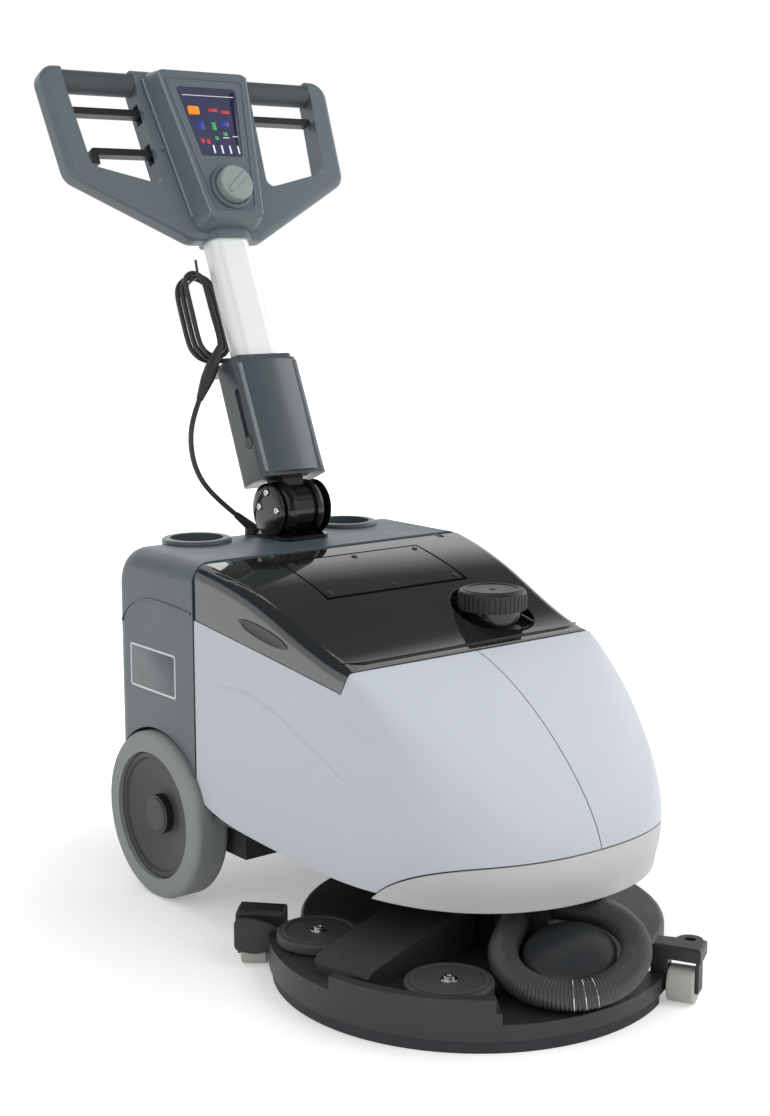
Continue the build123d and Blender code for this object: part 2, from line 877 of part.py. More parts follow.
low_width = sleeve_width + sleeve_taper
sleeve_low = mast_section(sleeve_start, low_width, sleeve_depth + sleeve_taper, sleeve_corner)
sleeve_high = mast_section(sleeve_end, sleeve_width, sleeve_depth, sleeve_corner)
sleeve = loft([sleeve_low, sleeve_high])
collar_top = sleeve_end + collar_height
collar_width = sleeve_width - 2 * collar_step
collar = mast_section(sleeve_end, collar_width, sleeve_depth - 2 * collar_step, sleeve_corner)
sleeve += extrude(collar, amount=collar_height)
shelf_left = collar_step - sleeve_width / 2
shelf_start = sleeve_depth / 2 - sleeve_corner
sleeve += block(shelf_left, shelf_right, shelf_start, shelf_start + shelf_length, sleeve_end, collar_top)
guide = mast_section(
    plug_top,
    tube_width + 2 * sliding_gap,
    tube_depth + 2 * sliding_gap,
    tube_corner + sliding_gap,
)
sleeve -= extrude(guide, amount=collar_top - plug_top)
sleeve -= socket
slot_y = -sleeve_depth / 4
slot_z = sleeve_start + slot_rise
slot_face = -low_width / 2
button_z = slot_z - slot_length / 2 + button_diameter / 2
slot = Pos(slot_face + slot_depth / 2, slot_y, slot_z) * Box(slot_depth, slot_width, slot_length)
sleeve -= fillet(slot.edges().filter_by(Axis.X), slot_width / 2 - sliding_gap)
button_length = slot_depth + button_travel
button_room = button_length + button_travel
button_hole = Pos(slot_face + button_room / 2, slot_y, button_z)
sleeve -= button_hole * rod(button_diameter / 2 + sliding_gap, button_room)
add("mast_sleeve", mast_place * sleeve)
button = Pos(slot_face + button_length / 2, slot_y, button_z) * rod(button_diameter / 2, button_length)
button = fillet(button.edges().filter_by(GeomType.CIRCLE).sort_by(Axis.X)[0], button_travel / 2)
add("lock_button", mast_place * button)

# Mast tube and the handle frame with its two hand loops
tube_top = chin + tube_in_handle
tube_length = tube_top - tube_bottom
tube_outer = mast_section(tube_bottom, tube_width, tube_depth, tube_corner)
bore_width = tube_width - 2 * tube_wall
bore_depth = tube_depth - 2 * tube_wall
tube_hole = mast_section(tube_bottom, bore_width, bore_depth, tube_corner - tube_wall)
tube = extrude(tube_outer, amount=tube_length) - extrude(tube_hole, amount=tube_length)
add("mast_tube", mast_place * tube)

low_corner = chin + low_corner_rise
grip_inner = console_top_half + console_inset
grip_outer = handle_top_half - loop_bar
grip_low = grip_rise - grip_diameter / 2
above_handle = handle_end + loop_bar
half_outline = [(chin_half, chin), (handle_low_half, low_corner), (handle_top_half, handle_end)]


def mirrored(points):
    """A closed face from its right half, given from the bottom up."""
    return make_face(Polyline(*points, *[(-x, z) for x, z in reversed(points)], close=True))


def loop_hole(side):
    """The open space inside one hand loop, up through the bar that the grip covers."""
    points = (
        (side * grip_inner, above_handle),
        (side * grip_outer, above_handle),
        (side * grip_outer, grip_low),
        (side * (handle_low_half - loop_bar), low_corner + lever_depth),
        (side * (chin_half + hole_spread), low_corner - lever_depth),
        (side * grip_inner, grip_low),
    )
    return fillet(make_face(Polyline(*points, close=True)).vertices(), hole_corner)


frame_face = fillet(mirrored(half_outline).vertices(), loop_corner)
frame = extrude(Plane.XZ * frame_face, amount=loop_depth / 2, both=True)
frame = fillet(frame.edges().group_by(Axis.Y)[0] + frame.edges().group_by(Axis.Y)[-1], loop_edge)
for side in (-1, 1):
    frame -= extrude(Plane.XZ * loop_hole(side), amount=loop_depth, both=True)
grip_core = grip_diameter / 2 - grip_wall
frame += Pos(0, 0, grip_rise) * rod(grip_core, 2 * handle_top_half - loop_bar)


def chin_boss(grow):
    """The socket around the top of the tube, grown by a gap."""
    more = chin_boss_wall + grow
    section = mast_section(chin, tube_width + 2 * more, tube_depth + 2 * more, tube_corner + more)
    return extrude(section, amount=tube_in_handle + more)


frame += chin_boss(0)
frame -= extrude(mast_section(chin, tube_width, tube_depth, tube_corner), amount=tube_in_handle)
grips = []
grip_length = grip_outer - grip_inner
for side in (-1, 1):
    grip = fillet(rod(grip_diameter / 2, grip_length).edges().filter_by(GeomType.CIRCLE), grip_wall / 2)
    grip -= rod(grip_core, grip_length)
    grips.append(mast_place * Pos(side * (grip_inner + grip_outer) / 2, 0, grip_rise) * grip)
add("grips", group(grips))

# Levers in slots beside the console, each turning on a pin through the frame


def lever_cut(side, z):
    """Room in the frame for a lever's root and its swing."""
    near = lever_pivot - lever_thickness
    far = grip_inner + lever_thickness
    half_depth = lever_depth / 2 + sliding_gap
    swing = lever_thickness / 2 + 2 * swing_gap
    x0, x1 = sorted((side * near, side * far))
    return block(x0, x1, -half_depth, half_depth, z - swing, z + swing)


def lever_pin(side, z, play):
    """The pin of one lever, across the frame's depth."""
    return Pos(side * lever_pivot, 0, z) * Rot(90, 0, 0) * Cylinder(lever_pin_diameter / 2 + play, loop_depth)


def lever_bar(side, z, length):
    """A flat bar with round ends, reaching from its pin under the grip."""
    bar = Pos(side * (lever_pivot + length / 2), 0, z) * Box(length, lever_depth, lever_thickness)
    for x in (lever_pivot, lever_pivot + length):
        bar += Pos(side * x, 0, z) * Rot(90, 0, 0) * Cylinder(lever_thickness / 2, lever_depth)
    return bar


lever_z = grip_rise - lever_drop
release_z = grip_rise - release_drop
lever_pins = []
for side, z, length, name in (
    (-1, lever_z, lever_length, "right_lever"),
    (1, lever_z, lever_length, "left_lever"),
    (-1, release_z, release_length, "release_lever"),
):
    frame -= lever_cut(side, z)
    frame -= lever_pin(side, z, 0)
    lever_pins.append(mast_place * lever_pin(side, z, 0))
    lever = lever_bar(side, z, length)
    if name == "release_lever":
        tip_x = side * (lever_pivot + length)
        lever += Pos(tip_x, 0, z - release_hook / 2) * Box(lever_thickness, lever_depth, release_hook)
    add(name, mast_place * (lever - lever_pin(side, z, running_gap)))
add("lever_pins", group(lever_pins))
add("handle_frame", mast_place * frame)

# Console cover with display, key and dial, standing on the face of the handle frame
cover_low = chin + 2 * console_inset
cover_high = handle_end - console_inset
face_y = -face_plane
seat_y = -loop_depth / 2


def console_face(grow, y):
    """The cover's outline at a depth, wide at the top and narrow at the chin."""
    points = [
        (chin_half - console_inset + grow, cover_low - grow),
        (console_top_half - console_inset + grow, cover_high + grow),
    ]
    return Pos(0, y, 0) * (Plane.XZ * fillet(mirrored(points).vertices(), console_corner + grow))


def display_face(grow):
    """The display's outline on the console's face."""
    points = [(display_low_half + grow, display_low - grow), (display_top_half + grow, display_high + grow)]
    return Pos(0, face_y, 0) * (Plane.XZ * fillet(mirrored(points).vertices(), 2 * display_depth + grow))


cover = loft([console_face(0, seat_y), console_face(-face_inset, face_y)])
inner_inset = face_inset + console_wall
cover -= loft([console_face(-console_wall, seat_y), console_face(-inner_inset, face_y + console_wall)])
display_high = cover_high - display_drop
display_low = display_high - display_length
shelf_y = face_y + console_wall + display_depth
cover += loft([console_face(-face_inset, shelf_y), console_face(-face_inset, face_y)])
cover -= extrude(display_face(fit_gap), amount=-display_depth)
window = extrude(display_face(0), amount=-display_depth)
key_x = -key_side
key_z = display_high - key_drop
key_hole = Pos(key_x, face_y, key_z)
key_hole *= Box(key_width + 2 * sliding_gap, 2 * console_depth, key_length + 2 * sliding_gap)
add("display_window", mast_place * (window - key_hole))
cover -= key_hole
dial_z = chin + dial_rise
dial_axis = Pos(0, face_y, dial_z) * Rot(90, 0, 0)
dial_shaft = dial_shaft_diameter / 2
bezel = dial_axis * Pos(0, 0, bezel_height / 2) * Cylinder(bezel_diameter / 2, bezel_height)
cover += fillet(bezel.edges().sort_by(Axis.Y)[0], bezel_height / 2)
cover -= dial_axis * Pos(0, 0, bezel_height) * Cylinder(dial_diameter / 2 + panel_gap, bezel_height)
cover -= dial_axis * Cylinder(dial_shaft + running_gap, 2 * console_depth)
cover -= chin_boss(fit_gap)
add("console_cover", mast_place * cover)
key_out = key_travel + display_depth / 4
key_depth = key_out + console_wall + display_depth
key = Pos(key_x, face_y - key_out + key_depth / 2, key_z) * Box(key_width, key_depth, key_length)
add("start_key", mast_place * fillet(key.edges().filter_by(Axis.Y), display_depth))
dial_base = bezel_height / 2 + sliding_gap
dial = dial_axis * Pos(0, 0, dial_base + dial_height / 2) * Cylinder(dial_diameter / 2, dial_height)
dial = fillet(dial.edges().sort_by(Axis.Y)[0], console_wall)
shaft_end = console_wall + 2 * display_depth
dial += dial_axis * Pos(0, 0, (dial_base - shaft_end) / 2) * Cylinder(dial_shaft, dial_base + shaft_end)
add("speed_dial", mast_place * dial)

# Charging lead: gland on the housing, inline connector and coil beside the mast, parked plug


def on_mast(place):
    """A point given across the mast, along it and towards its face, in the machine's frame."""
    across, along, face = place
    return (mast_place * Pos(across, -face, along)).position


def tapered(start, end, radii):
    """A round piece along a line, through evenly spaced radii."""
    line = end - start
    slices = []
    for i, radius in enumerate(radii):
        plane = Plane(origin=start + line * (i / (len(radii) - 1)), z_dir=line)
        slices.append(plane * Circle(radius))
    return loft(slices, ruled=True)


cord_radius = cord_diameter / 2
gland_foot = Vector(-gland_side, gland_behind, body_top)
gland_line = Vector(*gland_direction).normalized()
boot_foot = gland_foot + Vector(0, 0, gland_nut_height)
boot_end = boot_foot + gland_line * gland_boot_length
nut_top = body_top + gland_nut_height
gland = column(-gland_side, gland_behind, body_top - gland_nut_height, nut_top, gland_nut_diameter / 2)
gland -= housing_form(0)
gland += Pos(boot_foot) * Sphere(cord_diameter)
boot_radius = cord_radius + boot_wall
gland += tapered(boot_foot, boot_end, (cord_diameter, boot_radius))
add("cord_gland", gland)

connector_start = on_mast(connector_low)
connector_end = on_mast(connector_high)
connector_line = (connector_end - connector_start).normalized()
collar_radius = connector_diameter / 2
connector_radii = (boot_radius, cord_diameter, collar_radius, collar_radius, cord_diameter, boot_radius)
add("cord_connector", tapered(connector_start, connector_end, connector_radii))

cord_points = [
    boot_end,
    boot_end + gland_line * lead_rise,
    Vector(-92, 71, 487),
    Vector(-102, 71, 521),
    connector_start - connector_line * lead_finish,
    connector_start,
]
cord_radii = []
for before, corner, after in zip(cord_points, cord_points[1:], cord_points[2:]):
    turn = (corner - before).get_angle(after - corner)
    shorter = min((corner - before).length, (after - corner).length)
    cord_radii.append(0.45 * shorter / (sin(radians(turn / 2)) / cos(radians(turn / 2))))
print("charging lead bend radii", [round(r, 1) for r in cord_radii])
cord_path = FilletPolyline(*cord_points, radius=cord_radii)
cord_face = Plane(origin=boot_end, z_dir=cord_points[1] - boot_end) * Circle(cord_radius)
lower_cord = sweep(cord_face, path=cord_path)
print("charging lead volume ratio", round(lower_cord.volume / (pi * cord_radius ** 2 * cord_path.length), 4))
add("cord_lower", lower_cord)

coil_start = connector_end + connector_line * cord_diameter
stations = []
for turn in range(coil_turns):
    left = -coil_left - coil_spread * turn
    right = -coil_tuck if turn else -coil_entry
    quarters = (
        (right, coil_middle, (0, 1)),
        ((left + right) / 2, coil_middle + coil_half_height, (-1, 0)),
        (left, coil_middle, (0, -1)),
        ((left - coil_tuck) / 2, coil_middle - coil_half_height, (1, 0)),
    )
    for quarter, (across, along, heading) in enumerate(quarters):
        face = -coil_near - coil_step * (turn + quarter / 4)
        stations.append(((across, along, face), heading))
mast_origin = on_mast((0, 0, 0))
coil_pieces = [Line(connector_end, coil_start)]
last_point = coil_start
last_heading = connector_line
for place, heading in stations:
    point = on_mast(place)
    direction = on_mast((heading[0], heading[1], 0)) - mast_origin
    coil_pieces += biarc(last_point, last_heading, point, direction)
    last_point = point
    last_heading = direction
plug_face = stations[-1][0][2]
plug_start = on_mast((plug_side, coil_middle - coil_half_height, plug_face))
coil_pieces.append(Line(last_point, plug_start))
coil_path = Wire(coil_pieces)
coil_face = Plane(origin=connector_end, z_dir=connector_line) * Circle(cord_radius)
add("cord_coil", sweep(coil_face, path=coil_path))

coil_samples = [coil_path.position_at(i / 600) for i in range(601)]
sample_step = coil_path.length / 600
apart = int(4 * cord_diameter / sample_step)
least = min(
    (coil_samples[i] - coil_samples[j]).length
    for i in range(601)
    for j in range(i + apart, 601)
)
print("coil least gap to itself", round(least - cord_diameter, 2), "length", round(coil_path.length))

plug_end = on_mast((plug_side + plug_length, coil_middle - coil_half_height, plug_face))
plug_radius = plug_diameter / 2
plug_radii = (boot_radius, plug_radius - 2, plug_radius, plug_radius, plug_radius)
add("cord_plug", tapered(plug_start, plug_end, plug_radii))

hook_far = plug_face - cord_diameter
hook_rest = coil_middle + coil_half_height - cord_radius - hook_wire / 2 - hook_sag
hook_points = [
    on_mast((hook_foot, collar_top, hook_far)),
    on_mast((hook_foot, collar_top + hook_bend, hook_far)),
    on_mast((hook_side, hook_rest - hook_bend, hook_far)),
    on_mast((hook_side, hook_rest, hook_far + cord_diameter)),
    on_mast((hook_side, hook_rest, cord_diameter - coil_near)),
    on_mast((hook_side, hook_rest + hook_bend, cord_diameter + hook_wire - coil_near)),
]
hook_path = FilletPolyline(*hook_points, radius=2 * hook_wire)
hook_face = Plane(origin=hook_points[0], z_dir=hook_points[1] - hook_points[0]) * Circle(hook_wire / 2)
add("coil_hook", sweep(hook_face, path=hook_path))

# Brush deck, drawn around its swivel axis with the squeegee towards -Y, then turned into place
deck_place = Pos(0, deck_y, 0) * Rot(0, 0, deck_turn)
deck_radius = deck_diameter / 2
turret_radius = turret_diameter / 2
shaft_radius = shaft_diameter / 2
boss_bottom = deck_top + sliding_gap
boss_top = squeegee_top + panel_gap
knob_bottom = boss_top + sliding_gap
knob_top = knob_bottom + knob_height


def around_squeegee(radius, angle):
    """A place on the deck, by distance and angle from the centre of the squeegee's arc."""
    turn = radians(angle)
    return Pos(radius * sin(turn), -squeegee_offset - radius * cos(turn), 0)


def sector(inner, outer, start, end, z0, z1):
    """A curved bar around the squeegee's centre between two angles and two heights."""
    bar = column(0, -squeegee_offset, z0, z1, outer) - column(0, -squeegee_offset, z0, z1, inner)
    steps = 6
    corners = [(0, -squeegee_offset)]
    for i in range(steps + 1):
        corner = around_squeegee(2 * outer, start + (end - start) * i / steps).position
        corners.append((corner.X, corner.Y))
    wedge = extrude(Pos(0, 0, z0) * make_face(Polyline(*corners, close=True)), amount=z1 - z0)
    return bar & wedge


# The hose makes three quarters of a tilted turn around the suction dome
dome_spot = around_squeegee(dome_place_radius, dome_angle).position
low_turn = radians(hose_low_angle)
tilt = radians(hose_tilt)
hose_plane = Plane(
    origin=(dome_spot.X, dome_spot.Y, hose_middle_height),
    x_dir=(sin(low_turn) * cos(tilt), -cos(low_turn) * cos(tilt), -sin(tilt)),
    z_dir=(sin(low_turn) * sin(tilt), -cos(low_turn) * sin(tilt), cos(tilt)),
)
to_swivel = hose_plane.to_local_coords(Vector(0, 0, hose_middle_height))
swivel_bearing = Vector(1, 0, 0).get_signed_angle(Vector(to_swivel.X, to_swivel.Y, 0), Vector(0, 0, 1))
hose_place = hose_plane.location * Rot(0, 0, swivel_bearing + 45)
hose_radius = hose_diameter / 2
hose_quarter = hose_loop_radius * pi / 2
hose_length = 3 * hose_quarter + 2 * hose_diameter


def hose_section(along, radius):
    """A round section of the hose at a distance along its middle line."""
    bend = along - hose_diameter
    if bend < 0:
        plane = Plane(origin=(hose_loop_radius, bend, 0), x_dir=(0, 0, 1), z_dir=(0, 1, 0))
    elif bend < 3 * hose_quarter:
        turn = bend / hose_loop_radius
        spot = (hose_loop_radius * cos(turn), hose_loop_radius * sin(turn), 0)
        plane = Plane(origin=spot, x_dir=(0, 0, 1), z_dir=(-sin(turn), cos(turn), 0))
    else:
        spot = (bend - 3 * hose_quarter, -hose_loop_radius, 0)
        plane = Plane(origin=spot, x_dir=(0, 0, 1), z_dir=(1, 0, 0))
    return plane * Circle(radius)


rib_step = hose_length / hose_ribs
valley_radius = hose_radius - hose_rib_depth
hose_slices = []
rib_form = ((0.0, valley_radius), (0.25, valley_radius), (0.4, hose_radius), (0.85, hose_radius))
for i in range(hose_ribs):
    for share, radius in rib_form:
        hose_slices.append(hose_section((i + share) * rib_step, radius))
hose_slices.append(hose_section(hose_length, valley_radius))
hose_line = [
    Line((hose_loop_radius, -hose_diameter, 0), (hose_loop_radius, 0, 0)),
    CenterArc((0, 0, 0), hose_loop_radius, 0, 270),
    Line((0, -hose_loop_radius, 0), (hose_diameter, -hose_loop_radius, 0)),
]
hose = loft(hose_slices, ruled=True) - sweep(hose_section(0, hose_bore / 2), path=Wire(hose_line))
add("suction_hose", deck_place * hose_place * hose)

# Deck shell with its turret and the manifold that takes both hose ends
manifold_high = hose_loop_radius + hose_radius + manifold_wall
manifold = block(
    hose_diameter, manifold_high, -manifold_high, -hose_diameter, -manifold_depth / 2, manifold_depth / 2
)
pillar_low = hose_diameter + manifold_wall
manifold += block(pillar_low, manifold_high, -manifold_high, -pillar_low, -hose_middle_height, 0)
manifold_top = chassis_bottom - ring_height - panel_gap
deck = column(0, 0, deck_skirt, deck_top, deck_radius)
deck = fillet(deck.edges().group_by(Axis.Z)[-1], deck_edge)
deck -= column(0, 0, deck_skirt, deck_under, deck_radius - deck_wall)
deck += column(0, 0, deck_under, flange_bottom, turret_radius)
deck += column(0, 0, flange_bottom, turret_top, turret_radius + flange_width)
deck += hose_place * manifold & column(0, 0, deck_under, manifold_top, deck_radius)
deck -= column(0, 0, deck_top, turret_top, turret_radius - turret_wall)
deck -= column(0, 0, deck_under, deck_top, shaft_radius + panel_gap)
add("deck_shell", deck_place * deck)
motor = column(0, 0, deck_top, deck_top + motor_height, motor_diameter / 2)
motor += column(0, 0, block_bottom, deck_top, shaft_radius)
add("brush_motor", deck_place * motor)

# Brush: a drilled backing disc over a slice that holds square strands in rings
brush_radius = brush_diameter / 2
drive_top = (block_top + deck_under) / 2
backing = column(0, 0, block_bottom, block_top, brush_radius)
backing += column(0, 0, block_top, drive_top, bristle_first_ring / 2)
backing -= column(0, 0, block_bottom, drive_top, shaft_radius + running_gap)
add("brush_block", deck_place * backing)
slice_bottom = block_bottom - bristle_slice
slice_hole = bristle_first_ring - bristle_width
bristle_slab = column(0, 0, slice_bottom, block_bottom, brush_radius)
bristle_slab -= column(0, 0, slice_bottom, block_bottom, slice_hole)
ring_step = (brush_radius - bristle_width - bristle_first_ring) / (bristle_rings - 1)
strands = []
strand_top = slice_bottom + bristle_slice / 2
for ring_number in range(bristle_rings):
    ring_radius = bristle_first_ring + ring_number * ring_step
    count = int(2 * pi * ring_radius / bristle_pitch)
    for i in range(count):
        spot = Rot(0, 0, 360 * i / count) * Pos(ring_radius, 0, (brush_bottom + strand_top) / 2)
        strands.append(spot * Box(bristle_width, bristle_width, strand_top - brush_bottom))
print("brush strands", len(strands))
add("bristles", deck_place * (bristle_slab + strands))

# Squeegee carrier with raised wall, clamp bosses and ramp, and its two curved blades
end_angle = squeegee_half_angle
plate_bottom = squeegee_top - squeegee_plate
wall_inner = squeegee_radius - squeegee_wall
blade_middle = squeegee_radius - squeegee_wall / 2
second_outer = squeegee_radius - blade_spacing
second_inner = second_outer - squeegee_wall
low_bottom = low_top - squeegee_plate
carrier_plate = sector(deck_radius / 2, squeegee_radius, -end_angle, low_start, plate_bottom, squeegee_top)
carrier_plate += sector(deck_radius / 2, squeegee_radius, low_start - 2, low_start, low_bottom, squeegee_top)
carrier_plate += sector(deck_radius / 2, squeegee_radius, low_start, end_angle, low_bottom, low_top)
squeegee = carrier_plate - column(0, 0, low_bottom, squeegee_top, deck_radius + fit_gap)
for wall_span in ((wall_inner, squeegee_radius), (second_inner, second_outer)):
    squeegee += sector(*wall_span, -end_angle, low_start, squeegee_lift, squeegee_top)
    squeegee += sector(*wall_span, low_start, end_angle, squeegee_lift, low_top)
squeegee += sector(wall_inner, squeegee_radius, *raised_wall_angles, plate_bottom, raised_wall_top)
knob_spots = [around_squeegee(knob_place_radius, angle).position for angle in knob_angles]
ramp_plane = Plane(
    origin=(knob_spots[0] + knob_spots[1]) * 0.5,
    x_dir=knob_spots[1] - knob_spots[0],
    z_dir=(0, 0, 1),
)
ramp_outline = make_face(
    Polyline(
        (-ramp_front, boss_bottom),
        (-ramp_front, ramp_lip),
        (ramp_brow - ramp_lip - ramp_front, ramp_brow),
        (ramp_rear, ramp_top),
        (ramp_rear, boss_bottom),
        close=True,
    )
)
squeegee += ramp_plane.location * extrude(Plane.YZ * ramp_outline, amount=ramp_width / 2, both=True)
for spot in knob_spots:
    squeegee -= column(spot.X, spot.Y, boss_top, ramp_top, knob_diameter / 2 + panel_gap)
    squeegee += column(spot.X, spot.Y, boss_bottom, boss_top, knob_boss_diameter / 2)
    squeegee += column(spot.X, spot.Y, boss_bottom, knob_top, knob_stud_diameter / 2)
blades = []
blade_half = blade_thickness / 2
groove_half = blade_half + fit_gap
blade_angle = end_angle - blade_half
blade_top = squeegee_lift + blade_grip
for middle in (blade_middle, blade_middle - blade_spacing):
    blade_span = (middle - blade_half, middle + blade_half, -blade_angle, blade_angle)
    blades.append(sector(*blade_span, brush_bottom, blade_top))
    groove_span = (middle - groove_half, middle + groove_half, -end_angle, end_angle)
    squeegee -= sector(*groove_span, brush_bottom, blade_top + fit_gap)
add("squeegee_carrier", deck_place * squeegee)
add("squeegee_blades", group([deck_place * blade for blade in blades]))

for spot, name in zip(knob_spots, ("right_knob", "left_knob")):
    knob = column(spot.X, spot.Y, knob_bottom, knob_top, knob_diameter / 2)
    knob = fillet(knob.edges().group_by(Axis.Z)[-1], knob_edge)
    knob -= column(spot.X, spot.Y, knob_bottom, knob_top, knob_stud_diameter / 2 + running_gap)
    add(name, deck_place * knob)

# Suction dome inside the hose loop
dome_radius = dome_diameter / 2
dome_base = low_top + sliding_gap
cap_radius = (dome_radius ** 2 + dome_rise ** 2) / (2 * dome_rise)
cap_start = degrees(acos(dome_radius / cap_radius))
dome_corner = (dome_radius, 0)
dome_foot = -hose_middle_height
dome_side = Polyline((0, dome_rise), (0, dome_foot), (dome_radius, dome_foot), dome_corner)
dome_curve = CenterArc((0, dome_rise - cap_radius), cap_radius, cap_start, 90 - cap_start)
dome_face = make_face(Curve() + [dome_side, dome_curve])
dome_face = fillet(dome_face.vertices().sort_by_distance(dome_corner)[0], dome_shoulder)
dome = hose_plane.location * revolve(Plane.XZ * dome_face, axis=Axis.Z)
dome &= column(dome_spot.X, dome_spot.Y, dome_base, chassis_bottom, 2 * dome_radius)
dome -= column(0, 0, dome_base, deck_top + sliding_gap, deck_radius + sliding_gap)
manifold_room = hose_diameter - sliding_gap
dome -= hose_place * block(
    manifold_room, manifold_high, -manifold_high, -manifold_room, -hose_middle_height, dome_rise
)
add("suction_dome", deck_place * dome)

# End brackets of the squeegee, each with a fork, a pin and a roller
roof_bottom = bracket_top - bracket_roof
roller_radius = roller_diameter / 2
brackets = []
for side, name in ((-1, "right_roller"), (1, "left_roller")):
    spot = around_squeegee(bracket_place_radius, side * bracket_angle) * Rot(0, 0, side * bracket_angle)
    root_angle = end_angle + degrees(fit_gap / squeegee_radius)
    angles = sorted((side * root_angle, side * (root_angle + bracket_spread)))
    root_inner = squeegee_radius - bracket_root
    bracket = sector(root_inner, bracket_place_radius + bracket_overhang, *angles, roof_bottom, bracket_top)
    rims = bracket.edges().group_by(Axis.Z)[-1]
    bracket = fillet(rims, bracket_edge)
    bracket += sector(root_inner, squeegee_radius, *angles, squeegee_lift, roof_bottom)
    fork_inner = roller_width / 2 + roller_play
    fork_outer = fork_inner + fork_wall
    fork_low = roller_radius - roller_pin_diameter
    fork_top = roof_bottom + fork_wall
    for low, high in ((-fork_outer, -fork_inner), (fork_inner, fork_outer)):
        bracket += spot * block(-fork_half_length, fork_half_length, low, high, fork_low, fork_top)
    axis_place = spot * Pos(0, 0, roller_radius) * Rot(90, 0, 0)
    bracket += axis_place * Cylinder(roller_pin_diameter / 2, 2 * fork_outer)
    if side > 0:
        lug_top = bracket_top - bracket_edge
        lug = block(0, lug_reach, -lug_radius, lug_radius, roof_bottom, lug_top)
        lug += column(lug_reach, 0, roof_bottom, lug_top, lug_radius)
        bracket += spot * lug
        bracket -= spot * column(lug_reach, 0, lug_top, bracket_top, lug_radius)
        bracket -= spot * column(lug_reach, 0, roof_bottom, lug_top, lug_hole / 2)
    brackets.append(deck_place * bracket)
    roller = Cylinder(roller_radius, roller_width)
    roller = fillet(roller.edges().filter_by(GeomType.CIRCLE), fork_wall / 2)
    roller -= Cylinder(roller_pin_diameter / 2 + running_gap, roller_width)
    add(name, deck_place * axis_place * roller)
add("end_brackets", group(brackets))

# Inside pieces: tanks, batteries and the suction motor
tank_front = -tank_ahead - tank_length
arm_inner = motor_diameter / 2 + inner_gap
tank = block(-tank_half, tank_half, tank_front, -tank_ahead, chassis_top, tank_top)
arm_front = tank_front - tank_arm_length
tank += block(arm_inner, tank_half, arm_front, tank_front, turret_top + inner_gap, tank_top)
add("solution_tank", tank)
tub_bottom = tank_top + inner_gap
tub = block(-tank_half, tub_side, -tub_ahead - tub_length, -tub_ahead, tub_bottom, tub_top)
tub -= block(
    -tank_half + tub_wall,
    tub_side - tub_wall,
    -tub_ahead - tub_length + tub_wall,
    -tub_ahead - tub_wall,
    tub_bottom + tub_wall,
    tub_top,
)
add("recovery_tank", tub)
battery_top = chassis_top + battery_height
batteries = []
for side in (-1, 1):
    sides = sorted((side * tub_wall, side * (tub_wall + battery_width)))
    batteries.append(block(*sides, -battery_ahead, battery_length - battery_ahead, chassis_top, battery_top))
add("batteries", group(batteries))
vacuum_top = battery_top + vacuum_height
add("vacuum_motor", column(0, vacuum_behind, battery_top, vacuum_top, vacuum_diameter / 2))

# Move the origin to the middle of the footprint, leaving the charging lead out of the measure
lead_nodes = ("cord_gland", "cord_lower", "cord_connector", "cord_coil", "cord_plug")
boxes = [shape.bounding_box() for name, shape in parts.items() if name not in lead_nodes]
middle_x = (min(box.min.X for box in boxes) + max(box.max.X for box in boxes)) / 2
middle_y = (min(box.min.Y for box in boxes) + max(box.max.Y for box in boxes)) / 2
floor_z = min(box.min.Z for box in boxes)
origin_shift = Pos(-middle_x, -middle_y, -floor_z)
os.makedirs("parts", exist_ok=True)
for name, shape in parts.items():
    parts[name] = origin_shift * shape
    export_step(parts[name], f"parts/{name}.step")
print("origin", round(middle_x, 3), round(middle_y, 3), round(floor_z, 3), "nodes", len(parts))
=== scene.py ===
import logging
import math
import random
from dataclasses import dataclass
from enum import Enum
from typing import Any, Iterable, Sequence

import bmesh
import bpy
from mathutils import Matrix, Vector
from mathutils.bvhtree import BVHTree


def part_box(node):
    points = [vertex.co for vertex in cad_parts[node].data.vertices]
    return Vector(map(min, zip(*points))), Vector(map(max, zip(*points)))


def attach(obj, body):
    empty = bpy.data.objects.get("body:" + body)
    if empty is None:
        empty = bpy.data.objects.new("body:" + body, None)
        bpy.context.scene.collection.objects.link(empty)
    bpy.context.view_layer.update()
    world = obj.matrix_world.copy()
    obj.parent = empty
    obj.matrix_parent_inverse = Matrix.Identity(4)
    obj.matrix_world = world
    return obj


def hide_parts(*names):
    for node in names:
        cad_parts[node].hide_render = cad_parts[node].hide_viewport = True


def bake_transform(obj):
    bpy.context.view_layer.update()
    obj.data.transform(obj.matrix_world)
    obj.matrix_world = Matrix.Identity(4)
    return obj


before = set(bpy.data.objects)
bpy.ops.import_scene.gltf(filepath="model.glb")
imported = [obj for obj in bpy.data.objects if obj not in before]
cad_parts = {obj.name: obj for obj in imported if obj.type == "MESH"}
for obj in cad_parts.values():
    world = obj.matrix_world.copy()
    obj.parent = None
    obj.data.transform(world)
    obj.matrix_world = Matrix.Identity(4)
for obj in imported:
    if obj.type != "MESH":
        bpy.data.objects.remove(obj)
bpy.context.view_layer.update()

# Looks of a walk-behind floor scrubber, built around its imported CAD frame.
# Pieces are drawn in millimetres in one of the frames below and end in the row frame, in metres.

MM = 0.001
log = logging.getLogger("floor_scrubber")

AXLE_LOW, AXLE_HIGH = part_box("axle")
UNDER_AXLE = Vector(((AXLE_LOW.x + AXLE_HIGH.x) / 2, (AXLE_LOW.y + AXLE_HIGH.y) / 2, 0))
MAST_PIVOT = (0.0, 4.0, 447.0)
MAST_LEAN = 23.5
DECK_AHEAD = 350.0
DECK_TURN = -51.4
SQUEEGEE_OFFSET = 70.0

